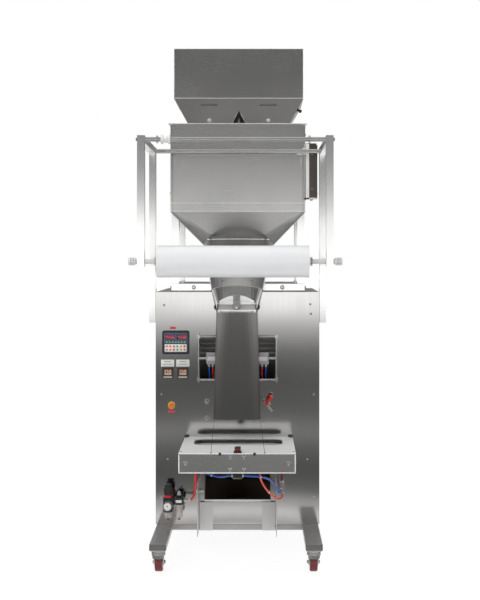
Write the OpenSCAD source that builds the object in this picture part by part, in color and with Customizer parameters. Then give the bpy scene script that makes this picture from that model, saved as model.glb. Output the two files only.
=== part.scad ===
// Bulk packaging machine: a weigher feeds a forming tube, and film from a reel is formed,
// filled and sealed in front of the cabinet. Millimetres, Z up, the front faces -Y.
// Depths called u are measured forward from the outer face of the cabinet's front panel.

/* [Undercarriage] */
// Overall height of the casters under the foot beams
caster_h = 102; // [90:1:140]
// Caster wheel diameter
wheel_d = 75; // [60:1:80]
// Caster wheel tread width
wheel_w = 32; // [24:1:36]
// Distance of the wheel axle from the swivel axis
caster_trail = 28; // [18:1:34]
// Width of each foot beam
beam_w = 70; // [50:1:90]
// Height of each foot beam
beam_h = 26; // [20:1:50]
// Wall of the foot beams
beam_wall = 2.5; // [1.5:0.5:4]
// How far the foot beams reach in front of the cabinet
beam_reach = 300; // [220:5:400]
// Distance of each foot beam's centre line in from the side of the cabinet
beam_inset = 40; // [35:1:110]

/* [Cabinet] */
// Width of the cabinet
cabinet_w = 720; // [600:5:900]
// Depth of the cabinet
cabinet_d = 600; // [520:5:800]
// Height of the cabinet body above the foot beams
cabinet_h = 1021; // [980:1:1200]
// Sheet thickness of the cabinet and hopper panels
sheet = 2; // [1:0.5:3]
// Leg width of the corner angles inside the cabinet
angle_w = 30; // [20:1:40]
// Half width of the discharge opening in the front panel
discharge_half = 146; // [100:1:160]
// Height of the discharge opening
discharge_h = 110; // [60:1:160]
// Height of the discharge lip above the foot beams
discharge_z = 110; // [60:1:120]
// Length of the side guards in front of the panel
guard_len = 113; // [60:1:200]
// Height of the side guards
guard_h = 228; // [150:1:280]
// Distance of the door hinge axis behind the cabinet
hinge_offset = 10; // [9:1:16]

/* [Forming] */
// Forming tube width at its top
tube_top_w = 176; // [140:1:200]
// Forming tube depth at its top
tube_top_d = 110; // [80:1:120]
// Forming tube width at its bottom
tube_bottom_w = 201; // [150:1:230]
// Forming tube depth at its bottom
tube_bottom_d = 70; // [50:1:90]
// Length of the forming tube
tube_len = 455; // [380:1:480]
// How far the forming tube's top lies below the cabinet top
tube_drop = 81; // [70:1:110]
// Distance of the tube's axis in front of the panel
tube_u = 122; // [110:1:140]
// Wall of the tube, chute and funnel
tube_wall = 2; // [1:0.5:3]
// Outer diameter of the outlet collar
collar_d = 317; // [260:1:340]
// Height of the outlet collar
collar_h = 53; // [30:1:60]
// Distance of the collar's axis behind the panel
collar_back = 200; // [180:1:240]

/* [Cross sealing] */
// Width of the cross sealing unit
seal_w = 472; // [420:1:560]
// Depth of the cross sealing unit
seal_d = 371; // [340:1:440]
// Height of the cross sealing unit
seal_h = 80; // [70:1:110]
// Height of the cross sealing unit above the foot beams
seal_z = 306; // [290:1:340]
// Sideways offset of the cross sealing unit
seal_x = 6; // [-10:1:10]
// Wall of the sealing unit
seal_wall = 4; // [3:0.5:6]
// Length of the slot in its cover
slot_l = 376; // [320:1:390]
// Width of the slot in its cover
slot_w = 150; // [100:1:160]
// Distance of the sealing jaws' ends from the unit's sides
jaw_side = 21; // [14:1:36]
// Gap between the open jaws
jaw_gap = 110; // [80:1:120]
// Depth of each jaw
jaw_d = 30; // [24:1:40]
// Height of each jaw
jaw_h = 40; // [30:1:50]
// Diameter of the jaw guide rods
guide_d = 16; // [12:1:20]
// Stroke of the cut-off knife
knife_stroke = 8; // [5:1:10]

/* [Back sealing] */
// Half width of the panel window
window_half = 165; // [160:1:190]
// Height of the panel window
window_h = 196; // [190:1:240]
// Height of the window above the foot beams
window_z = 634; // [610:1:660]
// Diameter of the frame rods
rod_d = 8.5; // [6:0.5:10]
// Stroke of the back seal bar
bar_stroke = 18; // [10:1:20]
// Length of the back seal bar
bar_l = 167; // [120:1:175]

/* [Weigher] */
// Width of the weigher body
weigher_w = 602; // [560:2:700]
// Depth of the weigher body
weigher_d = 500; // [480:5:560]
// Height of the weigher body
weigher_h = 388; // [380:1:460]
// Radius of the weigher's upright corners
weigher_r = 25; // [5:1:40]
// Distance of the weigher's front behind the panel
weigher_back = 40; // [36:1:60]
// Height of the skirt under the weigher body
skirt_h = 39; // [20:1:60]
// Height of the funnel below the skirt
funnel_h = 159; // [140:1:200]
// Height of the stand posts
post_h = 320; // [300:1:400]
// Width of the square stand tubes
post_w = 35; // [25:1:50]
// Wall of the stand and frame tubes
tube_t = 2; // [1.5:0.5:3]

/* [Supply hopper] */
// Width of the supply hopper
hopper_w = 600; // [560:2:700]
// Depth of the supply hopper
hopper_d = 340; // [300:2:400]
// Height of the upright part of the hopper
hopper_h = 231; // [150:1:400]
// Height of the sloping part of the hopper
legs_h = 113; // [90:1:160]
// Height of the necks under the hopper's legs
neck_h = 33; // [25:1:60]
// Inner edge of each neck from the middle
neck_in = 36; // [30:1:60]
// Outer edge of each neck from the middle
neck_out = 238; // [200:1:250]
// Depth of each neck
neck_d = 200; // [150:1:220]
// Width of each flow gate
gate_w = 76; // [50:1:100]
// Travel of each flow gate
gate_travel = 80; // [40:1:90]

/* [Film frame] */
// Side of the square frame tubes
frame_s = 30; // [25:1:40]
// Height of the rear posts
rear_post_h = 771; // [700:1:900]
// Distance of the front hangers' centre in front of the panel
hanger_u = 400; // [385:1:460]
// Length of the front hangers
hanger_l = 523; // [480:1:600]
// Overlap of the rear posts with the cabinet side
post_overlap = 135; // [80:1:300]
// Diameter of the guide rollers
roller_d = 19; // [16:1:30]
// Diameter of the rollers' stub pins
stub_d = 10; // [6:1:12]

/* [Film reel] */
// Diameter of the film reel
reel_d = 127; // [60:1:150]
// Length of the film reel
reel_l = 603; // [300:1:630]
// Diameter of the reel shaft
shaft_d = 20; // [12:1:24]
// How far the reel shaft reaches past each side frame with its knobs
shaft_over = 35; // [31:1:80]
// Diameter of the shaft knobs
knob_d = 30; // [26:1:45]

/* [Controls] */
// Width of the main controller's bezel
controller_w = 118; // [90:1:140]
// Height of the main controller's bezel
controller_h = 103; // [80:1:120]
// Side of the temperature controllers
thermo_s = 48; // [40:1:52]
// Diameter of the push button's ring
button_d = 31; // [26:1:40]
// Travel of the push button
button_travel = 4; // [2:0.5:6]
// Diameter of the pressure gauge
gauge_d = 40; // [34:1:50]
// Diameter of the air supply port
port_d = 12; // [8:0.5:14]

/* [Fits] */
// Radial clearance of turning and sliding fits
fit = 0.05; // [0.02:0.01:0.1]
// Gap between pieces that move past each other
gap = 0.3; // [0.2:0.05:0.5]

/* [Hidden] */
$fn = 48;
soft = 32;
thin = 0.5;

beam_z = caster_h;
base_z = beam_z + beam_h;
cabinet_z = base_z + cabinet_h;
half_w = cabinet_w / 2;
inner_w = half_w - sheet;
beam_x = half_w - beam_inset;

rail_z = cabinet_z + post_w;
skirt_z = rail_z + post_h;
body_z = skirt_z + skirt_h;
lid_z = skirt_z + weigher_h;
neck_z = lid_z + 2 * sheet;
legs_z = neck_z + neck_h;
fold_z = legs_z + legs_h;
hopper_z = fold_z + hopper_h;
weigher_front = -weigher_back;
weigher_rear = weigher_front - weigher_d;
weigher_mid = (weigher_front + weigher_rear) / 2;
post_x = weigher_w / 2 - post_w / 2 - 0.5;
front_post_u = weigher_front - 90;
rear_post_u = weigher_rear + 40;
hopper_mid = weigher_rear + 130;
notch_h = 68;
gate_x = (neck_in + neck_out) / 2;
gate_z = legs_z + 82;
gate_t = 2;
gate_u = hopper_mid + neck_d / 2
  + (gate_z - legs_z) / legs_h * (hopper_d - neck_d) / 2;

collar_u = -collar_back;
chute_z = skirt_z - funnel_h;
tube_top = cabinet_z - tube_drop;
tube_bottom = tube_top - tube_len;
mitre_u = tube_u - 34;
mitre_z = cabinet_z + 9;
mitre_tilt = 21.7;
mitre_half = tube_top_w / 2 + (mitre_z - tube_top) / (chute_z - tube_top) * (collar_d - tube_top_w) / 2;
mitre_depth = 60;
lens_w = 168;
lens_h = 50;
lens_rise = 18;

seal_bottom = base_z + seal_z;
seal_top = seal_bottom + seal_h;
seal_floor = 3;
jaw_l = seal_w - 2 * jaw_side;
jaw_z = (seal_bottom + seal_floor + seal_top - seal_wall) / 2;
jaw_front = tube_u + jaw_gap / 2;
jaw_rear = tube_u - jaw_gap / 2;
jaw_stroke = (jaw_gap - 1) / 2;
guide_x = jaw_l / 2 - guide_d / 2 - 4;
piston_d = 12;
cylinder_s = 50;
cylinder_l = jaw_stroke + 36;
front_wall_u = seal_d - seal_wall - 2;

window_bottom = base_z + window_z;
window_top = window_bottom + window_h;
bar_z = window_bottom + window_h / 2;
rod_x0 = window_half + 5;
rod_u = 14;
clamp_s = 14;
bar_piston_d = 8;
bar_cyl_x = [96, 136];
bar_cyl_u = [-22, 24];
bar_cyl_h = 52;

lip_z = base_z + discharge_z;
chute_rise = 105;
chute_run = 230;

hinge_x = -half_w + 10;
hinge_u = -cabinet_d - hinge_offset;
door_t = 3;
door_in = -cabinet_d - gap;
door_out = door_in - door_t;
hinge_heights = [base_z + 120, (base_z + cabinet_z) / 2, cabinet_z - 160];
knuckle_d = 12;
hinge_pin_d = 8;
knuckle_h = 28;
angle_t = 3;
lock_x = inner_w - angle_w - 12;
lock_z = (base_z + cabinet_z) / 2;
lock_d = 16;
lock_out = 34;

frame_mid = half_w + frame_s / 2;
frame_in = half_w;
frame_out = half_w + frame_s;
rear_frame_u = [-frame_s - 5, -5];
frame_top = cabinet_z - post_overlap + rear_post_h;
arm_z = frame_top - frame_s / 2;
hanger_range = [hanger_u - frame_s / 2, hanger_u + frame_s / 2];
hanger_bottom = frame_top - hanger_l;
reel_z = hanger_bottom + 22;
rear_roller_u = -15;
reel_x = -9;
roller_end = 2;
stub_l = 14;

front_y = (hanger_u + reel_d / 2 - cabinet_d - lock_out) / 2;

controller_x = -half_w + 89;
controller_z = base_z + 800;
thermo_x = [-half_w + 54, -half_w + 120];
thermo_z = base_z + 665;
button_x = -half_w + 70;
button_z = base_z + 523;
valve_x = 135;
valve_z = base_z + 524;
filter_x = -299;
oiler_x = -252;
filter_s = 40;
filter_u = [40, 40 + filter_s];
filter_z = base_z + 134;
filter_mid = (filter_u[0] + filter_u[1]) / 2;
port_z = filter_z - 12;
panel_cut = 0.6;

hose_sides = 8;
red_route = [[-210, 60, 250], [-202, 60, 250], [-186, 88, 275], [-177, 130, 330], [-176, 150, 380],
  [-176, 150, 412]];
blue_route_1 = [[-150, 170, 412], [-150, 170, 404], [-122, 190, 392], [-70, 230, 388],
  [-30, 280, 404], [-12, 280, 404]];
blue_route_2 = [[24, 280, 404], [40, 280, 404], [66, 280, 402], [96, 262, 396], [132, 214, 376],
  [158, 168, 345], [174, 132, 308], [186, 96, 290], [190, 60, 290], [190, 36, 290]];
orange_route = [[98, 240, 412], [98, 240, 398], [104, 212, 368], [126, 174, 322], [152, 146, 290],
  [178, 122, 270], [197, 80, 272], [197, 36, 272]];
down_route = [[195, 24, 318], [195, 24, 365], [195, 24, 412]];
panel_route = [[0, 4, 829], [0, 4, 814], [0, -12, 788], [0, -22, 768], [0, -22, 756]];

// Places and profiles shared by the pieces below
caster_places = [[-beam_x, beam_reach - 35], [beam_x, beam_reach - 35],
  [-beam_x, -cabinet_d + 45], [beam_x, -cabinet_d + 45]];

function corner(cx, cy, r, a) = [for (i = [0:4]) [cx + r * cos(a + 22.5 * i), cy + r * sin(a + 22.5 * i)]];
function round_box(w, h, r) = concat(
  corner(w / 2 - r, h / 2 - r, r, 0), corner(-w / 2 + r, h / 2 - r, r, 90),
  corner(-w / 2 + r, -h / 2 + r, r, 180), corner(w / 2 - r, -h / 2 + r, r, 270));

// A block between two x, two u and two z values
module block(x, u, z) {
  translate([x[0], front_y - u[1], z[0]])
    cube([x[1] - x[0], u[1] - u[0], z[1] - z[0]]);
}

module rod_x(x, u, z, d) {
  translate([x[0], front_y - u, z]) rotate([0, 90, 0]) cylinder(d = d, h = x[1] - x[0]);
}

module rod_y(x, u, z, d) {
  translate([x, front_y - u[0], z]) rotate([90, 0, 0]) cylinder(d = d, h = u[1] - u[0]);
}

module rod_z(x, u, z, d) {
  translate([x, front_y - u, z[0]]) cylinder(d = d, h = z[1] - z[0]);
}

module both_sides() {
  children();
  mirror([1, 0, 0]) children();
}

module ring_2d(w, h, t, r) {
  difference() {
    polygon(round_box(w, h, r));
    polygon(round_box(w - 2 * t, h - 2 * t, max(r - t, 0.5)));
  }
}

module hollow_z(x, u, z, t) {
  translate([(x[0] + x[1]) / 2, front_y - (u[0] + u[1]) / 2, z[0]])
    linear_extrude(z[1] - z[0]) ring_2d(x[1] - x[0], u[1] - u[0], t, 3);
}

module hollow_y(x, u, z, t) {
  translate([(x[0] + x[1]) / 2, front_y - u[0], (z[0] + z[1]) / 2])
    rotate([90, 0, 0]) linear_extrude(u[1] - u[0]) ring_2d(x[1] - x[0], z[1] - z[0], t, 3);
}

module hollow_x(x, u, z, t) {
  translate([x[0], front_y - (u[0] + u[1]) / 2, (z[0] + z[1]) / 2])
    rotate([90, 0, 90]) linear_extrude(x[1] - x[0]) ring_2d(u[1] - u[0], z[1] - z[0], t, 3);
}

// A profile drawn as [u, z] points, extruded between two x values
module side_profile(x, points) {
  translate([x[0], front_y, 0])
    rotate([90, 0, 90]) linear_extrude(x[1] - x[0]) polygon([for (p = points) [-p[0], p[1]]]);
}

// A level plate of a given outline for lofts, its lower face at height z
module slice(u, z) {
  translate([0, front_y - u, z]) linear_extrude(thin) children();
}

module stadium(w, d) {
  polygon(concat(
    [for (i = [0:12]) [w / 2 - d / 2 + d / 2 * cos(-90 + 15 * i), d / 2 * sin(-90 + 15 * i)]],
    [for (i = [0:12]) [-w / 2 + d / 2 + d / 2 * cos(90 + 15 * i), d / 2 * sin(90 + 15 * i)]]));
}

// Undercarriage
module base_frame() {
  cap = 3;
  color("silver") {
    both_sides() {
      hollow_y([beam_x - beam_w / 2, beam_x + beam_w / 2], [-cabinet_d + cap, beam_reach - cap],
        [beam_z, base_z], beam_wall);
      for (u = [-cabinet_d, beam_reach - cap])
        block([beam_x - beam_w / 2, beam_x + beam_w / 2], [u, u + cap], [beam_z, base_z]);
    }
    for (u = [-cabinet_d + cap, -cabinet_d / 2 - 15, -30])
      hollow_x([-beam_x + beam_w / 2, beam_x - beam_w / 2], [u, u + 30], [beam_z, base_z], beam_wall);
  }
}

plate_t = 4;
race_h = 4;
disc_t = 5;
king_d = 12;
head_d = 22;
axle_d = 8;
fork_t = 3;
fork_in = wheel_w / 2 + 2;
disc_top = beam_z - plate_t - race_h - gap;
disc_low = disc_top - disc_t;

module caster_plates() {
  color("silver")
    for (p = caster_places)
      translate([p[0], front_y - p[1], 0]) {
        translate([0, 0, beam_z - plate_t]) linear_extrude(plate_t) polygon(round_box(beam_w - 6, 64, 6));
        translate([0, 0, beam_z - plate_t - race_h]) cylinder(d = 50, h = race_h);
        translate([0, 0, disc_low - gap - plate_t]) cylinder(d = head_d, h = plate_t);
        translate([0, 0, disc_low - gap]) cylinder(d = king_d, h = disc_t + 2 * gap);
      }
}

module fork_leg() {
  rotate([90, 0, 90]) linear_extrude(fork_t) union() {
    polygon([[-21, disc_low], [21, disc_low], [caster_trail + 11, wheel_d / 2 + 3],
      [caster_trail - 11, wheel_d / 2 - 6]]);
    translate([caster_trail, wheel_d / 2]) circle(d = 24);
  }
}

module caster_fork(i) {
  translate([caster_places[i][0], front_y - caster_places[i][1], 0]) {
    difference() {
      translate([0, 0, disc_low]) cylinder(d = 52, h = disc_t);
      translate([0, 0, disc_low - 1]) cylinder(d = king_d + 2 * fit, h = disc_t + 2);
    }
    for (x = [-fork_in - fork_t, fork_in]) translate([x, 0, 0]) fork_leg();
    translate([-fork_in - fork_t - 5, caster_trail, wheel_d / 2]) rotate([0, 90, 0]) {
      cylinder(d = axle_d, h = 2 * (fork_in + fork_t + 5));
      cylinder(d = 14, h = 5);
      translate([0, 0, 2 * (fork_in + fork_t) + 5]) cylinder(d = 14, h = 5);
    }
  }
}

module caster_wheel(i) {
  hub = fork_in - gap;
  r = wheel_d / 2;
  w = wheel_w / 2;
  translate([caster_places[i][0], front_y - caster_places[i][1] + caster_trail, r])
    rotate([0, 90, 0]) difference() {
      union() {
        translate([0, 0, -hub]) cylinder(d = 22, h = 2 * hub);
        rotate_extrude() polygon([[8, -w + 5], [r - 10, -w + 5], [r - 8, -w], [r - 4, -w], [r - 1, -w + 2],
          [r, -w + 5], [r, w - 5], [r - 1, w - 2], [r - 4, w], [r - 8, w], [r - 10, w - 5], [8, w - 5]]);
      }
      translate([0, 0, -hub - 1]) cylinder(d = axle_d + 2 * fit, h = 2 * hub + 2);
    }
}

module caster_fork_1() { color("silver") caster_fork(0); }
module caster_fork_2() { color("silver") caster_fork(1); }
module caster_fork_3() { color("silver") caster_fork(2); }
module caster_fork_4() { color("silver") caster_fork(3); }
module caster_wheel_1() { color("brown") caster_wheel(0); }
module caster_wheel_2() { color("brown") caster_wheel(1); }
module caster_wheel_3() { color("brown") caster_wheel(2); }
module caster_wheel_4() { color("brown") caster_wheel(3); }

// Cabinet
module front_panel() {
  through = [-sheet - 1, 1];
  color("silver") difference() {
    block([-half_w, half_w], [-sheet, 0], [base_z, cabinet_z]);
    block([-discharge_half, discharge_half], through, [lip_z, lip_z + discharge_h]);
    block([-window_half, window_half], through, [window_bottom, window_top]);
    block([controller_x - controller_w / 2 + 4, controller_x + controller_w / 2 - 4], through,
      [controller_z - controller_h / 2 + 4, controller_z + controller_h / 2 - 4]);
    for (x = thermo_x)
      block([x - thermo_s / 2 + 2, x + thermo_s / 2 - 2], through,
        [thermo_z - thermo_s / 2 + 2, thermo_z + thermo_s / 2 - 2]);
    rod_y(button_x, through, button_z, button_d - 8);
    rod_y(seal_x, through, jaw_z, piston_d + 2);
  }
}

module cabinet_shell() {
  color("silver") {
    both_sides() block([inner_w, half_w], [-cabinet_d, -sheet], [base_z, cabinet_z]);
    for (z = [base_z, cabinet_z - sheet])
      block([-inner_w, inner_w], [-cabinet_d, -sheet], [z, z + sheet]);
  }
}

module angle_post(u0, u1) {
  block([inner_w - angle_w, inner_w], [u0, u0 + angle_t], [base_z + sheet, cabinet_z - sheet]);
  block([inner_w - angle_t, inner_w], [min(u0, u1), max(u0 + angle_t, u1)],
    [base_z + sheet, cabinet_z - sheet]);
}

module cabinet_frame() {
  color("dimgray") {
    both_sides() {
      angle_post(-sheet - angle_t, -sheet - angle_w);
      angle_post(-cabinet_d, -cabinet_d + angle_w);
    }
    for (z = [base_z + sheet, cabinet_z - sheet - angle_w])
      block([-inner_w + angle_w, inner_w - angle_w], [-cabinet_d, -cabinet_d + angle_t], [z, z + angle_w]);
    for (z = hinge_heights) {
      rod_z(hinge_x, hinge_u, [z, z + knuckle_h], knuckle_d);
      block([hinge_x - 8, hinge_x - 2], [hinge_u, -cabinet_d], [z, z + knuckle_h]);
      rod_z(hinge_x, hinge_u, [z + knuckle_h, z + 2 * knuckle_h], hinge_pin_d);
    }
  }
}

module rear_door() {
  color("silver") {
    difference() {
      block([hinge_x, half_w - 5], [door_out, door_in], [base_z + 10, cabinet_z - 10]);
      rod_y(lock_x, [door_out - 1, door_in + 1], lock_z, lock_d + 2 * fit);
      for (i = [0:7])
        both_sides() block([60, 200], [door_out - 1, door_in + 1],
          [cabinet_z - 330 + 24 * i, cabinet_z - 324 + 24 * i]);
    }
    for (z = hinge_heights)
      difference() {
        union() {
          rod_z(hinge_x, hinge_u, [z + knuckle_h + gap, z + 2 * knuckle_h], knuckle_d);
          block([hinge_x, hinge_x + 40], [door_out - 3, door_out], [z + knuckle_h + gap, z + 2 * knuckle_h]);
        }
        rod_z(hinge_x, hinge_u, [z + knuckle_h, z + 2 * knuckle_h + 1], hinge_pin_d + 2 * fit);
      }
  }
}

module door_lock() {
  handle_z = 70;
  cam_u = -cabinet_d + angle_t + 0.5;
  color("dimgray") {
    rod_y(lock_x, [door_out - gap - 5, cam_u + 3], lock_z, lock_d);
    rod_y(lock_x, [door_out - gap - 5, door_out - gap], lock_z, 28);
    block([lock_x - 9, lock_x + 9], [-cabinet_d - lock_out, door_out - gap - 5],
      [lock_z - handle_z / 2, lock_z + handle_z / 2]);
    block([lock_x - 7, lock_x + 7], [cam_u, cam_u + 3], [lock_z - 30, lock_z + 8]);
  }
}

module electrical_plate() {
  plate_u = 270 - cabinet_d;
  foot = base_z + sheet;
  mount = [plate_u - 2, plate_u];
  color("dimgray") {
    block([-250, 250], mount, [foot, foot + 520]);
    block([-250, 250], [plate_u, plate_u + 40], [foot, foot + 2]);
    // Drive, power supply, controller, relay row, terminals and wiring ducts
    block([-220, -100], [plate_u - 142, mount[0]], [foot + 300, foot + 480]);
    block([-70, -10], [plate_u - 112, mount[0]], [foot + 340, foot + 470]);
    block([20, 190], [plate_u - 92, mount[0]], [foot + 350, foot + 460]);
    for (i = [0:6]) block([-200 + 50 * i, -160 + 50 * i], [plate_u - 72, mount[0]], [foot + 190, foot + 260]);
    block([-220, 200], [plate_u - 52, mount[0]], [foot + 90, foot + 130]);
    for (z = [40, 150, 280]) block([-240, 240], [plate_u - 42, mount[0]], [foot + z, foot + z + 30]);
  }
}

module discharge_chute() {
  top = lip_z + discharge_h;
  color("silver") {
    side_profile([-discharge_half, discharge_half], [[12, lip_z - 8], [12, lip_z + sheet],
      [-sheet, lip_z + sheet], [-chute_run, lip_z + chute_rise + sheet], [-chute_run, lip_z + chute_rise],
      [-sheet, lip_z], [0, lip_z], [0, lip_z - 8]]);
    both_sides()
      side_profile([discharge_half - sheet, discharge_half], [[0, lip_z], [0, top], [-chute_run, top + 40],
        [-chute_run, lip_z + chute_rise], [-sheet, lip_z]]);
  }
}

module guard_plates() {
  z0 = beam_z + 2;
  color("silver") both_sides() {
    block([discharge_half + 22, discharge_half + 25], [0, guard_len], [z0, z0 + guard_h]);
    difference() {
      block([discharge_half - 38, discharge_half + 20], [0, 12], [z0, lip_z - 10]);
      block([discharge_half - 35, discharge_half + 17], [-1, 9], [z0 - 1, lip_z - 9]);
    }
  }
}

// Controls
module front_plate(x, z, w, h, r, u) {
  translate([x, front_y - u[0], z])
    rotate([90, 0, 0]) linear_extrude(u[1] - u[0]) polygon(round_box(w, h, r));
}

module controller() {
  color("dimgray") difference() {
    union() {
      front_plate(controller_x, controller_z, controller_w, controller_h, 7, [0, 14]);
      front_plate(controller_x, controller_z, controller_w - 8 - panel_cut, controller_h - 8 - panel_cut, 2,
        [-80, 0]);
    }
    front_plate(controller_x, controller_z, controller_w - 14, controller_h - 14, 3, [12, 15]);
  }
}

module temperature_controllers() {
  color("dimgray")
    for (x = thermo_x)
      difference() {
        union() {
          front_plate(x, thermo_z, thermo_s, thermo_s, 3, [0, 7]);
          front_plate(x, thermo_z, thermo_s - 4 - panel_cut, thermo_s - 4 - panel_cut, 1, [-70, 0]);
        }
        front_plate(x, thermo_z + 3, thermo_s - 10, thermo_s - 16, 1, [6, 8]);
      }
}

stem_d = 14;

module button_base() {
  color("gold") difference() {
    union() {
      rod_y(button_x, [0, 8], button_z, button_d);
      rod_y(button_x, [-30, 0], button_z, button_d - 8 - panel_cut);
      rod_y(button_x, [-sheet - 6, -sheet], button_z, button_d - 2);
    }
    rod_y(button_x, [-31, 9], button_z, stem_d + 2 * fit);
  }
}

module push_button() {
  cap_u = 8 + button_travel + gap;
  color("orange") {
    rod_y(button_x, [cap_u, cap_u + 9], button_z, button_d - 7);
    rod_y(button_x, [-24, cap_u], button_z, stem_d);
  }
}

lever_pin = [valve_x - 9, valve_z + 12];

module hand_valve() {
  color("silver") difference() {
    union() {
      rod_y(valve_x, [0, 20], valve_z, 22);
      translate([valve_x, front_y - 28, valve_z]) rotate([0, 141, 0])
        translate([0, 0, -27]) cylinder(d = 18, h = 56);
    }
    rod_y(lever_pin[0], [20, 60], lever_pin[1], 6 + 2 * fit);
  }
}

module valve_lever() {
  u0 = 37 + gap;
  color("red") {
    rod_y(lever_pin[0], [24, u0 + 2], lever_pin[1], 6);
    rod_y(lever_pin[0], [u0, u0 + 6], lever_pin[1], 16);
    translate([lever_pin[0], front_y - u0 - 6, lever_pin[1]]) rotate([0, 33, 0]) {
      translate([-5, 1, 0]) cube([10, 4, 30]);
      translate([0, -3, 12]) cylinder(d = 16, h = 30);
    }
  }
}

module air_filter() {
  h = 57;
  color("dimgray") {
    difference() {
      union() {
        block([filter_x - filter_s / 2, filter_x + filter_s / 2], filter_u, [filter_z - h, filter_z]);
        rod_z(filter_x, filter_mid, [filter_z, filter_z + 11], filter_s - 4);
      }
      rod_x([filter_x - filter_s / 2 - 1, filter_x - filter_s / 2 + 14], filter_mid, port_z, port_d);
      rod_z(filter_x, filter_mid, [filter_z - 20, filter_z + 12], 10 + 2 * fit);
    }
    block([oiler_x - filter_s / 2, oiler_x + filter_s / 2], filter_u, [filter_z - 24, filter_z]);
    rod_z(oiler_x, filter_mid, [filter_z, filter_z + 10], 22);
    block([filter_x + filter_s / 2, oiler_x - filter_s / 2], [filter_mid - 10, filter_mid + 10],
      [port_z - 9, port_z + 9]);
    for (x = [filter_x, oiler_x])
      block([x - 10, x + 10], [3, filter_u[0]], [filter_z - 18, filter_z - 4]);
    block([filter_x - 16, oiler_x + 16], [0, 3], [filter_z - 30, filter_z + 8]);
  }
}

module bowl(x, top, bottom) {
  r = filter_s / 2 - 3;
  translate([x, front_y - filter_mid, 0]) rotate_extrude() polygon([[0, bottom], [r - 8, bottom],
    [r - 3, bottom + 4], [r, bottom + 10], [r, top], [r - 3, top], [r - 3, bottom + 11],
    [r - 6, bottom + 6], [r - 9, bottom + 4], [0, bottom + 4]]);
}

module air_bowls() {
  color("goldenrod") {
    bowl(filter_x, filter_z - 57, filter_z - 91);
    bowl(oiler_x, filter_z - 24, filter_z - 91);
  }
}

module pressure_gauge() {
  z = filter_z - 32;
  color("white") difference() {
    rod_y(filter_x, [filter_u[1], filter_u[1] + 20], z, gauge_d);
    rod_y(filter_x, [filter_u[1] + 18, filter_u[1] + 21], z, gauge_d - 5);
  }
}

module regulator_knob() {
  z = filter_z + 11 + gap;
  color("dimgray") {
    rod_z(filter_x, filter_mid, [filter_z - 16, z], 10);
    translate([filter_x, front_y - filter_mid, z]) rotate_extrude()
      polygon([[0, 0], [18, 0], [18, 30], [15, 32], [15, 42], [12, 46], [0, 46]]);
  }
}

// Air hoses and what they end in
fitting_d = 14;
fitting_z = seal_bottom - 22;
fitting_places = [[-176, 150], [-150, 170], [98, 240], [195, 24]];
manifold = [[184, 206], [0, 36], [262, 318]];
island_z = 756;

module hose_fittings() {
  color("silver") {
    block(manifold[0], manifold[1], manifold[2]);
    rod_x([oiler_x + filter_s / 2, red_route[0][0]], filter_mid, port_z, fitting_d);
    for (p = fitting_places) rod_z(p[0], p[1], [fitting_z, seal_bottom], fitting_d);
    block([-12, 24], [266, 294], [fitting_z - 18, seal_bottom]);
    both_sides() {
      block([86, 146], [-42, -sheet], [island_z - 46, island_z]);
      for (x = [108, 124]) rod_z(x, 4, [panel_route[0][2], bar_z - bar_cyl_h / 2], 9);
    }
  }
}

function unit(v) = v / norm(v);
function route_dir(p, i) = unit(p[min(i + 1, len(p) - 1)] - p[max(i - 1, 0)]);
function spline(a, b, c, d, t) = 0.5 * (2 * b + (c - a) * t + (2 * a - 5 * b + 4 * c - d) * t * t
  + (3 * b - a - 3 * c + d) * t * t * t);
// Rounds a route off, but leaves its first and last stretch straight
function smooth(p) = concat(
  [for (i = [0:len(p) - 2]) for (t = [0, 0.5]) i == 0 || i == len(p) - 2 ? p[i] + t * (p[i + 1] - p[i])
    : spline(p[i - 1], p[i], p[i + 1], p[i + 2], t)], [p[len(p) - 1]]);

// A round tube swept along a route of [x, u, z] points; its end faces are square to the route
module hose(route, d) {
  p = [for (q = smooth(route)) [q[0], front_y - q[1], q[2]]];
  n = len(p);
  rings = [for (i = [0:n - 1])
    let (t = route_dir(p, i), side = unit(cross(t, [0.6, 0.5, 0.6])), up = cross(side, t))
    for (k = [0:hose_sides - 1])
      p[i] + d / 2 * (side * cos(k * 360 / hose_sides) + up * sin(k * 360 / hose_sides))];
  walls = [for (i = [0:n - 2]) for (k = [0:hose_sides - 1]) for (f = [
    [i * hose_sides + k, i * hose_sides + (k + 1) % hose_sides, (i + 1) * hose_sides + k],
    [i * hose_sides + (k + 1) % hose_sides, (i + 1) * hose_sides + (k + 1) % hose_sides,
      (i + 1) * hose_sides + k]]) f];
  ends = [[for (k = [hose_sides - 1:-1:0]) k], [for (k = [0:hose_sides - 1]) (n - 1) * hose_sides + k]];
  polyhedron(rings, concat(walls, ends), convexity = 6);
}

module air_hoses() {
  color("red") hose(red_route, 10);
  color("blue") {
    hose(blue_route_1, 8);
    hose(blue_route_2, 8);
  }
  color("orangered") hose(orange_route, 8);
  color("darkred") hose(down_route, 8);
  for (x = [-124, -108, 108, 124]) color("blue") hose([for (q = panel_route) [q[0] + x, q[1], q[2]]], 6);
}

// Cross sealing unit
module slot_cut(z) {
  translate([seal_x, front_y - tube_u, z[0]])
    linear_extrude(z[1] - z[0]) polygon(round_box(slot_l, slot_w, min(40, slot_w / 2 - 1)));
}

module sealing_housing() {
  x = [seal_x - seal_w / 2, seal_x + seal_w / 2];
  top = seal_top - seal_wall;
  rim = 9;
  color("silver") difference() {
    block(x, [0, seal_d], [seal_bottom, top]);
    block([x[0] + seal_wall, x[1] - seal_wall], [seal_wall, front_wall_u], [seal_bottom + seal_floor, top + 1]);
    block([x[0] + rim, x[1] - rim], [seal_d - 2, seal_d + 1], [seal_bottom + rim, top - rim + seal_wall]);
    slot_cut([seal_bottom - 1, seal_bottom + seal_floor + 1]);
    rod_y(seal_x, [-1, seal_wall + 1], jaw_z, piston_d + 2);
  }
}

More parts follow.
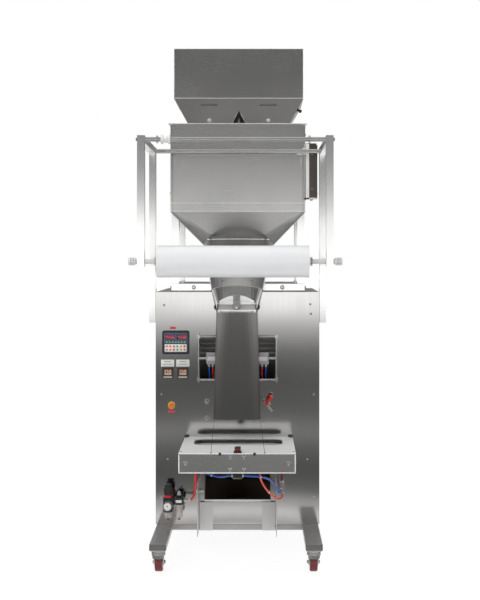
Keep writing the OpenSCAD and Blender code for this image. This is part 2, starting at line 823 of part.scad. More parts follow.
module housing_cover() {
  color("silver") difference() {
    block([seal_x - seal_w / 2, seal_x + seal_w / 2], [0, seal_d], [seal_top - seal_wall, seal_top]);
    slot_cut([seal_top - seal_wall - 1, seal_top + 1]);
  }
}

module bag_sensor() {
  color("dimgray") {
    block([seal_x - 14, seal_x + 18], [seal_d - 40, seal_d - 4], [seal_top, seal_top + 4]);
    block([seal_x - 10, seal_x + 14], [seal_d - 36, seal_d - 8], [seal_top + 4, seal_top + 22]);
  }
}

module jaw_guides() {
  color("silver")
    for (x = [seal_x - guide_x, seal_x + guide_x])
      rod_y(x, [seal_wall, front_wall_u], jaw_z, guide_d);
}

knife_x = 120;
knife_t = 2;

module jaw(u) {
  difference() {
    block([seal_x - jaw_l / 2, seal_x + jaw_l / 2], u, [jaw_z - jaw_h / 2, jaw_z + jaw_h / 2]);
    for (x = [seal_x - guide_x, seal_x + guide_x])
      rod_y(x, [u[0] - 1, u[1] + 1], jaw_z, guide_d + 2 * fit);
  }
}

module front_jaw() {
  slot = [jaw_z - knife_t / 2 - gap, jaw_z + knife_t / 2 + gap];
  back = jaw_front + jaw_d;
  color("gray") {
    difference() {
      union() {
        jaw([jaw_front, back]);
        for (x = [-knife_x, knife_x])
          block([seal_x + x - 20, seal_x + x + 20], [back, back + 30], [jaw_z - 13, jaw_z + 13]);
      }
      block([seal_x - slot_l / 2 + 6 - gap, seal_x + slot_l / 2 - 6 + gap], [jaw_front - 1, back - 8], slot);
      for (x = [-knife_x, knife_x])
        block([seal_x + x - 12 - gap, seal_x + x + 12 + gap], [back - 9, back + 24], slot);
    }
    rod_y(seal_x, [back, back + jaw_stroke + 50], jaw_z, piston_d);
  }
}

module rear_jaw() {
  color("gray") {
    difference() {
      jaw([jaw_rear - jaw_d, jaw_rear]);
      block([seal_x - slot_l / 2 + 4, seal_x + slot_l / 2 - 4], [jaw_rear - knife_stroke - 4, jaw_rear + 1],
        [jaw_z - knife_t / 2 - 0.5, jaw_z + knife_t / 2 + 0.5]);
    }
    rod_y(seal_x, [jaw_rear - jaw_d - jaw_stroke - 57, jaw_rear - jaw_d], jaw_z, piston_d);
  }
}

module cut_off_knife() {
  z = [jaw_z - knife_t / 2, jaw_z + knife_t / 2];
  back = jaw_front + jaw_d;
  color("silver") {
    block([seal_x - slot_l / 2 + 6, seal_x + slot_l / 2 - 6], [jaw_front + 3, back - 8 - gap], z);
    for (x = [-knife_x, knife_x])
      block([seal_x + x - 12, seal_x + x + 12], [back - 8 - gap, back + 20], z);
  }
}

module cylinder_body(u, bore_u) {
  difference() {
    block([seal_x - cylinder_s / 2, seal_x + cylinder_s / 2], u, [jaw_z - cylinder_s / 2, jaw_z + cylinder_s / 2]);
    rod_y(seal_x, bore_u, jaw_z, piston_d + 2 * fit);
  }
}

module air_cylinders() {
  front0 = front_wall_u - cylinder_l;
  color("gainsboro") {
    cylinder_body([front0, front_wall_u], [front0 - 1, front_wall_u - 4]);
    cylinder_body([-sheet - cylinder_l, -sheet], [-sheet - cylinder_l + 4, -sheet + 1]);
    both_sides() difference() {
      block(bar_cyl_x, bar_cyl_u, [bar_z - bar_cyl_h / 2, bar_z + bar_cyl_h / 2]);
      rod_y((bar_cyl_x[0] + bar_cyl_x[1]) / 2, [bar_cyl_u[0] + 6, bar_cyl_u[1] + 1], bar_z,
        bar_piston_d + 2 * fit);
    }
  }
}

// Back sealing unit
module seal_frame() {
  low = window_bottom + 4;
  high = window_top - 4;
  color("whitesmoke") {
    both_sides() {
      rod_z(rod_x0, rod_u, [low - 15, high + 12], rod_d);
      for (z = [low, high]) {
        block([rod_x0 - clamp_s / 2, rod_x0 + clamp_s / 2], [rod_u - clamp_s / 2, rod_u + clamp_s / 2],
          [z - clamp_s / 2, z + clamp_s / 2]);
        rod_y(rod_x0, [0, rod_u], z, 8);
      }
      block([bar_cyl_x[1], rod_x0], [rod_u - 5, rod_u + 5], [bar_z - 5, bar_z + 5]);
    }
    for (z = [low, high]) rod_x([-rod_x0, rod_x0], rod_u, z, rod_d);
  }
}

module seal_bar() {
  head = [bar_cyl_u[1] + 8, bar_cyl_u[1] + 14];
  mid = (bar_cyl_x[0] + bar_cyl_x[1]) / 2;
  color("gray") {
    block([-mid - 14, mid + 14], head, [bar_z - 9, bar_z + 9]);
    both_sides() rod_y(mid, [bar_cyl_u[1] - bar_stroke - 16, head[0]], bar_z, bar_piston_d);
    block([-15, 15], [head[1], head[1] + 14], [bar_z - bar_l / 2, bar_z + bar_l / 2]);
  }
}

// Forming tube, chute, collar and funnel
module tube_loft(w0, d0, w1, d1, over) {
  hull() {
    slice(tube_u, tube_bottom - over) stadium(w1, d1);
    slice(tube_u, tube_top - thin + over) stadium(w0, d0);
  }
}

module forming_tube() {
  t = 2 * tube_wall;
  color("dimgray") difference() {
    tube_loft(tube_top_w, tube_top_d, tube_bottom_w, tube_bottom_d, 0);
    tube_loft(tube_top_w - t, tube_top_d - t, tube_bottom_w - t, tube_bottom_d - t, 1);
  }
}

module mitre_slice(low, wall) {
  translate([0, front_y - mitre_u, mitre_z]) rotate([-mitre_tilt, 0, 0]) mirror([0, 0, low])
    linear_extrude(thin) scale([mitre_half - wall, mitre_depth - wall]) circle(r = 1, $fn = soft);
}

module chute_upper(wall, over) {
  hull() {
    slice(collar_u, chute_z - thin + over) circle(d = collar_d - 2 * wall, $fn = soft);
    translate([0, 0, -over]) mitre_slice(0, wall);
  }
}

module chute_lower(wall, over) {
  hull() {
    translate([0, 0, over]) mitre_slice(1, wall);
    slice(tube_u, tube_top - over) stadium(tube_top_w - 2 * wall, tube_top_d - 2 * wall);
  }
}

// The window in the chute's front wall, upright at its sides and arched at its top
module lens_window() {
  low = tube_top + 4;
  r = (pow(lens_w / 2, 2) + pow(lens_rise, 2)) / (2 * lens_rise);
  translate([0, front_y - tube_u - 10, 0]) rotate([90, 0, 0]) linear_extrude(100)
    intersection() {
      translate([-lens_w / 2, low]) square([lens_w, lens_h]);
      translate([0, low + lens_h - r]) circle(r = r, $fn = 4 * soft);
    }
}

module feed_chute() {
  color("silver") {
    difference() {
      chute_upper(0, 0);
      chute_upper(tube_wall, 0.5);
    }
    difference() {
      chute_lower(0, 0);
      chute_lower(tube_wall, 0.5);
      lens_window();
    }
  }
}

module funnel_solid(wall, over) {
  hull() {
    slice(weigher_mid, skirt_z - thin + over)
      polygon(round_box(weigher_w - 2 * wall, weigher_d - 2 * wall, weigher_r));
    slice(collar_u - 32, chute_z - over)
      scale([collar_d / 2 - 10 - wall, 100 - wall]) circle(r = 1, $fn = soft);
  }
}

module weigher_funnel() {
  color("silver") difference() {
    funnel_solid(0, 0);
    funnel_solid(tube_wall, 0.5);
  }
}

module outlet_collar() {
  color("silver") difference() {
    rod_z(0, collar_u, [chute_z, chute_z + collar_h], collar_d);
    rod_z(0, collar_u, [chute_z - 1, chute_z + collar_h + 1], collar_d - 2 * tube_wall);
    funnel_solid(0, 0);
  }
}

// Weigher and its stand
module stand() {
  x = [post_x - post_w / 2, post_x + post_w / 2];
  color("silver") {
    for (u = [front_post_u, rear_post_u]) {
      hollow_x([-x[1], x[1]], [u - post_w / 2, u + post_w / 2], [cabinet_z, rail_z], tube_t);
      both_sides() difference() {
        hollow_z(x, [u - post_w / 2, u + post_w / 2], [rail_z - tube_t / 2, skirt_z], tube_t);
        funnel_solid(0, 0);
      }
    }
    both_sides()
      hollow_y(x, [rear_post_u + (post_w - tube_t) / 2, front_post_u - (post_w - tube_t) / 2],
        [cabinet_z, rail_z], tube_t);
  }
}

module weigher_ring(grow, wall, z) {
  translate([0, front_y - weigher_mid, z[0]]) linear_extrude(z[1] - z[0]) difference() {
    polygon(round_box(weigher_w + grow, weigher_d + grow, weigher_r));
    polygon(round_box(weigher_w + grow - 2 * wall, weigher_d + grow - 2 * wall, weigher_r - wall));
  }
}

module weigher_body() {
  color("silver") {
    weigher_ring(0, 4, [skirt_z, body_z]);
    weigher_ring(0, sheet, [body_z, lid_z]);
  }
}

module weigher_lid() {
  wall = 3;
  neck_u = [hopper_mid - neck_d / 2, hopper_mid + neck_d / 2];
  color("silver") {
    difference() {
      translate([0, front_y - weigher_mid, lid_z]) linear_extrude(2 * sheet)
        polygon(round_box(weigher_w + 12, weigher_d + 12, weigher_r));
      both_sides() block([neck_in + wall, neck_out - wall], [neck_u[0] + wall, neck_u[1] - wall],
        [lid_z - 1, neck_z + 1]);
    }
    both_sides() difference() {
      block([neck_in, neck_out], neck_u, [neck_z, legs_z]);
      block([neck_in + wall, neck_out - wall], [neck_u[0] + wall, neck_u[1] - wall], [neck_z - 1, legs_z + 1]);
    }
  }
}

module weigher_box() {
  x = weigher_w / 2;
  z = [skirt_z + 65, lid_z - 89];
  color("dimgray") {
    block([x, x + 3], [weigher_front - 100, weigher_front - 30], [z[0] - 12, z[1] - 20]);
    block([x + 3, x + 54], [weigher_front - 110, weigher_front - 20], z);
    block([x + 3, x + 50], [weigher_front - 106, weigher_front - 24], [z[1], z[1] + 8]);
  }
}

pan_x = [neck_in + 9, neck_out - 8];
pan_z = lid_z - 132;
pan_u = [weigher_rear + 10, weigher_front - 175];
bucket_u = [weigher_front - 186, weigher_front - 36];
bucket_z = [skirt_z + 96, skirt_z + 226];
flap_t = 3;
flap_pin_d = 8;
flap_u = bucket_u[0] + 6;
flap_z = bucket_z[0] - 8;

// Two vibrating pans on leaf springs, each with its magnet block, on two cross beams
module vibratory_feeders() {
  t = 2;
  beam_h2 = 30;
  beams = [pan_z - 200, pan_z - 200 + beam_h2];
  spring_u = [hopper_mid - 60, hopper_mid + 50];
  color("gainsboro") {
    for (u = spring_u) hollow_x([-weigher_w / 2 + sheet, weigher_w / 2 - sheet], [u - 15, u + 15], beams, t);
    both_sides() {
      difference() {
        block(pan_x, pan_u, [pan_z, pan_z + 70]);
        block([pan_x[0] + t, pan_x[1] - t], [pan_u[0] + t, pan_u[1] + 1], [pan_z + t, pan_z + 71]);
      }
      block([gate_x - 45, gate_x + 45], [spring_u[0] - 15, spring_u[1] + 15], [beams[1], beams[1] + 60]);
      for (u = spring_u)
        block([gate_x - 30, gate_x + 30], [u - 1, u + 1], [beams[1] + 60, pan_z]);
      block([gate_x - 25, gate_x + 25], [hopper_mid - 35, hopper_mid + 20], [beams[1] + 60, pan_z - 4]);
    }
  }
}

// Two weigh buckets, each hung from a load cell on the side wall
module weigh_buckets() {
  t = 2;
  cell_z = [bucket_z[1] - 46, bucket_z[1] - 20];
  color("gainsboro") both_sides() {
    difference() {
      block(pan_x, bucket_u, bucket_z);
      block([pan_x[0] + t, pan_x[1] - t], [bucket_u[0] + t, bucket_u[1] - t], [bucket_z[0] - 1, bucket_z[1] + 1]);
    }
    block([pan_x[1], pan_x[1] + 16], [bucket_u[1] - 40, bucket_u[1]], cell_z);
    block([pan_x[1] + 16, pan_x[1] + 40], [bucket_u[0], bucket_u[1]], cell_z);
    block([pan_x[1] + 40, weigher_w / 2 - sheet], [bucket_u[0], bucket_u[0] + 40], cell_z);
    for (x = [pan_x[0] + 8, pan_x[1] - 14])
      difference() {
        union() {
          block([x, x + 6], [bucket_u[0], bucket_u[0] + 12], [flap_z, bucket_z[0]]);
          rod_x([x, x + 6], flap_u, flap_z, flap_pin_d + 6);
        }
        rod_x([x - 1, x + 7], flap_u, flap_z, flap_pin_d + 2 * fit);
      }
  }
}

module bucket_flap(side) {
  mirror([side, 0, 0]) {
    rod_x([pan_x[0] + 4, pan_x[1] - 4], flap_u, flap_z, flap_pin_d);
    block([pan_x[0], pan_x[1]], [bucket_u[0] + 17, bucket_u[1]], [bucket_z[0] - gap - flap_t, bucket_z[0] - gap]);
    block([pan_x[0] + 20, pan_x[1] - 20], [flap_u, bucket_u[0] + 18], [flap_z - 2, flap_z + 2]);
    block([pan_x[0] + 20, pan_x[1] - 20], [bucket_u[0] + 15, bucket_u[0] + 19], [flap_z - 2, bucket_z[0] - gap]);
  }
}

module bucket_flap_left() { color("silver") bucket_flap(1); }
module bucket_flap_right() { color("silver") bucket_flap(0); }

// Supply hopper
module hopper_solid(wall, over) {
  notch = notch_h + 2 * wall;
  block([-hopper_w / 2 + wall, hopper_w / 2 - wall],
    [hopper_mid - hopper_d / 2 + wall, hopper_mid + hopper_d / 2 - wall], [fold_z - thin, hopper_z + over]);
  difference() {
    hull() {
      slice(hopper_mid, fold_z - thin) square([hopper_w - 2 * wall, hopper_d - 2 * wall], center = true);
      slice(hopper_mid, legs_z - over) square([2 * neck_out - 2 * wall, neck_d - 2 * wall], center = true);
    }
    translate([0, front_y - hopper_mid + hopper_d / 2 + 1, legs_z - over - thin]) rotate([90, 0, 0])
      linear_extrude(hopper_d + 2) polygon([[-neck_in - wall, -1], [neck_in + wall, -1],
        [neck_in + wall, 0], [0, notch], [-neck_in - wall, 0]]);
  }
}

module supply_hopper() {
  slit = gate_w / 2 + 2;
  color("silver") difference() {
    hopper_solid(0, 0);
    hopper_solid(sheet, 1);
    both_sides() block([gate_x - slit, gate_x + slit], [gate_u - 14, gate_u + 14],
      [gate_z - gate_t / 2 - 0.5, gate_z + gate_t / 2 + 0.5]);
  }
}

module flow_gate(side) {
  mirror([side, 0, 0])
    block([gate_x - gate_w / 2, gate_x + gate_w / 2], [gate_u - gate_travel - 30, gate_u + 8],
      [gate_z - gate_t / 2, gate_z + gate_t / 2]);
}

module flow_gate_left() { color("gray") flow_gate(1); }
module flow_gate_right() { color("gray") flow_gate(0); }

// Film frame, rollers and reel
module film_frame() {
  cap = 2;
  x = [frame_in, frame_out];
  bush_d = 27;
  color("silver") both_sides() {
    hollow_z(x, rear_frame_u, [cabinet_z - post_overlap + cap, frame_top - cap], tube_t);
    hollow_y(x, [rear_frame_u[1] - tube_t / 2, hanger_range[0] + tube_t / 2],
      [frame_top - frame_s, frame_top], tube_t);
    difference() {
      union() {
        hollow_z(x, hanger_range, [hanger_bottom + cap, frame_top - cap], tube_t);
        rod_x(x, hanger_u, reel_z, bush_d);
      }
      rod_x([x[0] - 1, x[1] + 1], hanger_u, reel_z, shaft_d + 2 * fit);
    }
    for (u = [rear_frame_u, hanger_range])
      for (z = [u[0] < 0 ? cabinet_z - post_overlap : hanger_bottom, frame_top - cap])
        block(x, u, [z, z + cap]);
    rod_x([frame_in - stub_l, frame_in], hanger_u, arm_z, stub_d);
    rod_x([frame_in - stub_l, frame_in], rear_roller_u, arm_z, stub_d);
  }
}

module roller(u) {
  end = frame_in - roller_end;
  difference() {
    rod_x([-end, end], u, arm_z, roller_d);
    both_sides() rod_x([end - stub_l, end + 1], u, arm_z, stub_d + 2 * fit);
  }
}

module front_roller() {
  color("silver") roller(hanger_u);
  color("white")
    for (x = [-311, 295])
      difference() {
        rod_x([x - 4, x + 4], hanger_u, arm_z, roller_d + 11);
        rod_x([x - 5, x + 5], hanger_u, arm_z, roller_d + 2 * fit);
      }
}

module rear_roller() {
  color("silver") roller(rear_roller_u);
}

module reel_shaft() {
  knob_l = 28;
  end = frame_out + shaft_over - knob_l;
  color("silver") {
    rod_x([-end, end], hanger_u, reel_z, shaft_d);
    for (x = [reel_x - reel_l / 2 - 12, reel_x + reel_l / 2])
      difference() {
        rod_x([x, x + 12], hanger_u, reel_z, 32);
        rod_x([x - 1, x + 13], hanger_u, reel_z, shaft_d + 2 * fit);
      }
    both_sides() rod_x([end, end + knob_l], hanger_u, reel_z, knob_d);
  }
}

module film_reel() {
  color("white") difference() {
    rod_x([reel_x - reel_l / 2, reel_x + reel_l / 2], hanger_u, reel_z, reel_d);
    rod_x([reel_x - reel_l / 2 - 1, reel_x + reel_l / 2 + 1], hanger_u, reel_z, shaft_d + 2 * fit);
  }
}

base_frame();
caster_plates();
caster_fork_1();
caster_fork_2();
caster_fork_3();
caster_fork_4();
caster_wheel_1();
caster_wheel_2();
caster_wheel_3();
caster_wheel_4();
front_panel();
cabinet_shell();
cabinet_frame();
rear_door();
door_lock();
electrical_plate();
discharge_chute();
guard_plates();
controller();
temperature_controllers();
button_base();
push_button();
hand_valve();
valve_lever();
air_filter();
air_bowls();
pressure_gauge();
regulator_knob();
hose_fittings();
air_hoses();
sealing_housing();
housing_cover();
bag_sensor();
jaw_guides();
front_jaw();
rear_jaw();
air_cylinders();
cut_off_knife();
seal_frame();
seal_bar();
forming_tube();
feed_chute();
outlet_collar();
stand();
weigher_body();
weigher_lid();
weigher_funnel();
weigher_box();
vibratory_feeders();
weigh_buckets();
bucket_flap_left();
bucket_flap_right();
supply_hopper();
flow_gate_left();
flow_gate_right();
film_frame();
front_roller();
rear_roller();
reel_shaft();
film_reel();
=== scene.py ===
"""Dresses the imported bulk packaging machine: finishes, fastenings, hoses, labels and the studio round it."""

import math

import bmesh
import bpy
from mathutils import Matrix, Vector
from mathutils.bvhtree import BVHTree


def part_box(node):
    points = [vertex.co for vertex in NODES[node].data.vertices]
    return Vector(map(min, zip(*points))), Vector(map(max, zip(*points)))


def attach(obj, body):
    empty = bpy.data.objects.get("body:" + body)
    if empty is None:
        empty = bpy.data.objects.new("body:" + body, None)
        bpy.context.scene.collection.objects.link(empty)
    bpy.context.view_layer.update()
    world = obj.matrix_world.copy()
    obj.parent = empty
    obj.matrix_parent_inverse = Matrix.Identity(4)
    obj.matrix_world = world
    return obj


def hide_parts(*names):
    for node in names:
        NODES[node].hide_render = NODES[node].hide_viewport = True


bl_info = {
    "name": "Bulk Packaging Machine",
    "version": (1, 0, 0),
    "blender": (4, 5, 0),
    "location": "View3D > Sidebar > Packaging",
    "description": "Finishes, fastenings, hoses and controls of a bulk packaging machine",
    "category": "Object",
}

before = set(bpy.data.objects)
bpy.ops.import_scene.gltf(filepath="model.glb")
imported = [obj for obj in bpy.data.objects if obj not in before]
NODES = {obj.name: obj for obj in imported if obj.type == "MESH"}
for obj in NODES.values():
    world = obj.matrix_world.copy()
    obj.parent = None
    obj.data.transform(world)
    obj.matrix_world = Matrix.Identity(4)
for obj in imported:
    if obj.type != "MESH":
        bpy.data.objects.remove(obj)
MACHINE = "machine"
PANEL_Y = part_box("front_panel")[0].y
TOWARD, UP, DOWN, RIGHT = (0, -1, 0), (0, 0, 1), (0, 0, -1), (1, 0, 0)


def at(x, u, z):
    """The point at x, at the depth u in front of the cabinet's front panel, and at height z, all in millimetres."""
    return Vector((x / 1000, PANEL_Y - u / 1000, z / 1000))


def depth(y):
    """How far a world y lies in front of the cabinet's front panel, in millimetres."""
    return (PANEL_Y - y) * 1000


def face_middle(node):
    """The x and z of a CAD node's middle, in millimetres."""
    low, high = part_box(node)
    return (low.x + high.x) * 500, (low.z + high.z) * 500


def ends(node):
    """The two ends of a CAD node across the machine, each as its side, -1 or 1, and its x in metres."""
    low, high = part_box(node)
    return (-1, low.x), (1, high.x)


def linear(*rgb):
    """A screen colour, 0 to 255, as Blender's linear colour."""
    return tuple(((c / 255 + 0.055) / 1.055) ** 2.4 if c > 10 else c / 3294 for c in rgb) + (1.0,)


# Shared shader groups


def group_tree(name, inputs, outputs):
    """A new shader node group with named sockets, and its input and output nodes."""
    tree = bpy.data.node_groups.new(name, "ShaderNodeTree")
    for label, kind, value in inputs:
        socket = tree.interface.new_socket(label, in_out="INPUT", socket_type=kind)
        socket.default_value = value
    for label, kind in outputs:
        tree.interface.new_socket(label, in_out="OUTPUT", socket_type=kind)
    return tree, tree.nodes.new("NodeGroupInput"), tree.nodes.new("NodeGroupOutput")


def math_node(tree, operation, a, b=None, clamp=False):
    node = tree.nodes.new("ShaderNodeMath")
    node.operation = operation
    node.use_clamp = clamp
    for socket, value in zip(node.inputs, (a, b)):
        if value is None:
            continue
        if isinstance(value, (int, float)):
            socket.default_value = value
        else:
            tree.links.new(value, socket)
    return node.outputs[0]


def noise_node(tree, vector, scale, detail=4.0, roughness=0.55):
    node = tree.nodes.new("ShaderNodeTexNoise")
    node.inputs["Detail"].default_value = detail
    node.inputs["Roughness"].default_value = roughness
    if isinstance(scale, (int, float)):
        node.inputs["Scale"].default_value = scale
    else:
        tree.links.new(scale, node.inputs["Scale"])
    tree.links.new(vector, node.inputs["Vector"])
    return node.outputs["Fac"]


def brushed_grain_group():
    """Fine lines drawn out along one direction, and broad soft changes of tone over the sheet."""
    tree, inlet, outlet = group_tree(
        "Brushed Grain",
        [("Stretch", "NodeSocketVector", (600.0, 600.0, 6.0)), ("Cloud Scale", "NodeSocketFloat", 2.5)],
        [("Lines", "NodeSocketFloat"), ("Clouds", "NodeSocketFloat")],
    )
    place = tree.nodes.new("ShaderNodeTexCoord").outputs["Object"]
    stretch = tree.nodes.new("ShaderNodeVectorMath")
    stretch.operation = "MULTIPLY"
    tree.links.new(place, stretch.inputs[0])
    tree.links.new(inlet.outputs["Stretch"], stretch.inputs[1])
    tree.links.new(noise_node(tree, stretch.outputs[0], 1.0, 5.0, 0.7), outlet.inputs["Lines"])
    tree.links.new(noise_node(tree, place, inlet.outputs["Cloud Scale"], 3.0), outlet.inputs["Clouds"])
    return tree


def edge_wear_group():
    """A mask that is 1 on worn outer edges and 0 on the open faces."""
    tree, inlet, outlet = group_tree(
        "Edge Wear",
        [("Radius", "NodeSocketFloat", 0.0012), ("Amount", "NodeSocketFloat", 0.6), ("Scale", "NodeSocketFloat", 90.0)],
        [("Mask", "NodeSocketFloat")],
    )
    bevel = tree.nodes.new("ShaderNodeBevel")
    bevel.samples = 3
    tree.links.new(inlet.outputs["Radius"], bevel.inputs["Radius"])
    flat = tree.nodes.new("ShaderNodeNewGeometry")
    dot = tree.nodes.new("ShaderNodeVectorMath")
    dot.operation = "DOT_PRODUCT"
    tree.links.new(bevel.outputs[0], dot.inputs[0])
    tree.links.new(flat.outputs["Normal"], dot.inputs[1])
    turned = math_node(tree, "SUBTRACT", 1.0, dot.outputs["Value"])
    edge = math_node(tree, "MULTIPLY", turned, 9.0, clamp=True)
    place = tree.nodes.new("ShaderNodeTexCoord").outputs["Object"]
    broken = math_node(tree, "MULTIPLY", edge, noise_node(tree, place, inlet.outputs["Scale"], 3.0))
    amount = math_node(tree, "MULTIPLY", broken, inlet.outputs["Amount"])
    tree.links.new(math_node(tree, "MULTIPLY", amount, 2.0, clamp=True), outlet.inputs["Mask"])
    return tree


def dust_group():
    """A mask of settled dust: thick on faces that look up, thin elsewhere, in soft patches."""
    tree, inlet, outlet = group_tree(
        "Settled Dust",
        [("Amount", "NodeSocketFloat", 0.3), ("Scale", "NodeSocketFloat", 14.0)],
        [("Mask", "NodeSocketFloat")],
    )
    split = tree.nodes.new("ShaderNodeSeparateXYZ")
    tree.links.new(tree.nodes.new("ShaderNodeNewGeometry").outputs["Normal"], split.inputs[0])
    up = math_node(tree, "MULTIPLY_ADD", split.outputs["Z"], 0.85, clamp=True)
    up.node.inputs[2].default_value = 0.12
    place = tree.nodes.new("ShaderNodeTexCoord").outputs["Object"]
    patches = math_node(tree, "MULTIPLY", up, noise_node(tree, place, inlet.outputs["Scale"], 5.0))
    tree.links.new(math_node(tree, "MULTIPLY", patches, inlet.outputs["Amount"], clamp=True), outlet.inputs["Mask"])
    return tree


GROUPS = {}


def shared_group(name):
    makers = {"Brushed Grain": brushed_grain_group, "Edge Wear": edge_wear_group, "Settled Dust": dust_group}
    if name not in GROUPS:
        GROUPS[name] = makers[name]()
    return GROUPS[name]


def place_group(tree, name, **values):
    node = tree.nodes.new("ShaderNodeGroup")
    node.node_tree = shared_group(name)
    for label, value in values.items():
        node.inputs[label.replace("_", " ")].default_value = value
    return node


def mix_colour(tree, factor, a, b):
    node = tree.nodes.new("ShaderNodeMix")
    node.data_type = "RGBA"
    for socket, value in ((node.inputs["Factor"], factor), (node.inputs["A"], a), (node.inputs["B"], b)):
        if isinstance(value, bpy.types.NodeSocket):
            tree.links.new(value, socket)
        else:
            socket.default_value = value
    return node.outputs["Result"]


def spread(tree, value, low, high, out_low, out_high):
    node = tree.nodes.new("ShaderNodeMapRange")
    for label, number in (("From Min", low), ("From Max", high), ("To Min", out_low), ("To Max", out_high)):
        node.inputs[label].default_value = number
    tree.links.new(value, node.inputs["Value"])
    return node.outputs["Result"]


FINISHES = {}
WORN_STEEL = linear(205, 203, 198)
DUST_COLOUR = linear(188, 184, 176)


def finish(name, colour, shade, metallic, rough, stretch=(70, 70, 70), lines=0.25, clouds=0.5, bump=0.00004,
           cloud_scale=2.5, wear=0.3, dust=0.12, coat=0.0, alpha=None, glow=None, subsurface=0.0, drawn=None):
    """A procedural finish: a colour and its darker shade mixed by grain lines and broad clouds, then wear and dust."""
    if name in FINISHES:
        return FINISHES[name]
    material = bpy.data.materials.new(name)
    material.use_nodes = True
    tree = material.node_tree
    shader = tree.nodes["Principled BSDF"]
    grain = place_group(tree, "Brushed Grain", Stretch=stretch, Cloud_Scale=cloud_scale)
    tone = math_node(tree, "ADD", spread(tree, grain.outputs["Lines"], 0.3, 0.7, 0.0, lines),
                     spread(tree, grain.outputs["Clouds"], 0.35, 0.65, 0.0, clouds), clamp=True)
    base = mix_colour(tree, tone, colour, shade)
    if wear:
        mask = place_group(tree, "Edge Wear", Amount=wear).outputs["Mask"]
        base = mix_colour(tree, mask, base, WORN_STEEL if metallic > 0.5 else mix_pale(colour))
    if dust:
        base = mix_colour(tree, place_group(tree, "Settled Dust", Amount=dust).outputs["Mask"], base, DUST_COLOUR)
    tree.links.new(base, shader.inputs["Base Color"])
    shader.inputs["Metallic"].default_value = metallic
    tree.links.new(spread(tree, tone, 0.0, 1.0, max(rough - 0.05, 0.03), min(rough + 0.1, 1.0)),
                   shader.inputs["Roughness"])
    if bump:
        relief = tree.nodes.new("ShaderNodeBump")
        relief.inputs["Strength"].default_value = 0.5
        relief.inputs["Distance"].default_value = bump
        tree.links.new(grain.outputs["Lines"], relief.inputs["Height"])
        tree.links.new(relief.outputs[0], shader.inputs["Normal"])
    if drawn:
        shader.inputs["Anisotropic"].default_value = 0.8
        around = tree.nodes.new("ShaderNodeTangent")
        around.direction_type = "RADIAL"
        around.axis = drawn
        tree.links.new(around.outputs[0], shader.inputs["Tangent"])
    shader.inputs["Coat Weight"].default_value = coat
    if subsurface:
        shader.inputs["Subsurface Weight"].default_value = subsurface
        shader.inputs["Subsurface Radius"].default_value = (0.006, 0.006, 0.006)
    if alpha is not None:
        shader.inputs["Alpha"].default_value = alpha
    if glow is not None:
        shader.inputs["Emission Color"].default_value = glow
        shader.inputs["Emission Strength"].default_value = 0.9
    material.diffuse_color = colour
    FINISHES[name] = material
    return material


def mix_pale(colour):
    return tuple(c + (0.8 - c) * 0.35 for c in colour[:3]) + (1.0,)


def dark(colour, share=0.6):
    return tuple(c * share for c in colour[:3]) + (1.0,)


ALONG_X = (5.0, 700.0, 700.0)
ALONG_Y = (700.0, 5.0, 700.0)
ALONG_Z = (700.0, 700.0, 5.0)


def steel(name, rgb, along, rough=0.3, metallic=1.0, **more):
    """A steel brushed along one axis, which spreads its reflections across that axis."""
    colour = linear(*rgb)
    values = dict(drawn="Z" if along in (ALONG_Z, ALONG_Y) else None)
    values.update(more)
    return finish(name, colour, dark(colour, 0.78), metallic, rough, stretch=along, **values)


def plastic(name, rgb, rough=0.4, **more):
    colour = linear(*rgb)
    values = dict(stretch=(900.0, 900.0, 900.0), lines=0.12, clouds=0.12, bump=0.00002, cloud_scale=30.0, wear=0.12,
                  dust=0.06)
    values.update(more)
    return finish(name, colour, dark(colour, 0.8), 0.0, rough, **values)


# Edges bent by more than this, in degrees, are shaded sharp
SHARP_ANGLE = 38

# Mesh makers. Lengths are in millimetres, and turned into metres when the piece is made


def add_block(mesh, x, u, z, edge=0.6):
    """A block between two x, two u and two z values with its edges rounded off."""
    low, high = at(x[0], u[1], z[0]), at(x[1], u[0], z[1])
    made = bmesh.ops.create_cube(mesh, size=1.0)["verts"]
    for v in made:
        v.co = Vector((low[i] + (v.co[i] + 0.5) * (high[i] - low[i]) for i in range(3)))
    edges = {e for v in made for e in v.link_edges}
    bmesh.ops.bevel(mesh, geom=list(edges), offset=edge / 1000, segments=2, affect="EDGES", profile=0.5)


def skin(mesh, rings):
    """Faces between rings of as many points, and over the first ring and the last."""
    for low, high in zip(rings, rings[1:]):
        for k in range(len(low)):
            n = (k + 1) % len(low)
            mesh.faces.new((low[k], low[n], high[n], high[k]))
    mesh.faces.new(list(reversed(rings[0])))
    mesh.faces.new(rings[-1])


def add_turned(mesh, origin, axis, profile, sides=32):
    """A turned shape: profile holds (radius, height) pairs along axis from origin, in millimetres."""
    turn = Vector(axis).to_track_quat("Z", "Y").to_matrix()
    rings = []
    for radius, height in profile:
        if radius <= 0:
            rings.append([mesh.verts.new(origin + turn @ Vector((0, 0, height / 1000)))])
            continue
        rings.append([
            mesh.verts.new(origin + turn @ Vector((radius / 1000 * math.cos(2 * math.pi * k / sides),
                                                   radius / 1000 * math.sin(2 * math.pi * k / sides), height / 1000)))
            for k in range(sides)
        ])
    for low, high in zip(rings, rings[1:]):
        for k in range(sides):
            a, b = low[k % len(low)], low[(k + 1) % len(low)]
            c, d = high[(k + 1) % len(high)], high[k % len(high)]
            corners = list(dict.fromkeys((a, b, c, d)))
            if len(corners) > 2:
                mesh.faces.new(corners)
    for ring, flip in ((rings[0], True), (rings[-1], False)):
        if len(ring) > 1:
            mesh.faces.new(list(reversed(ring)) if flip else ring)


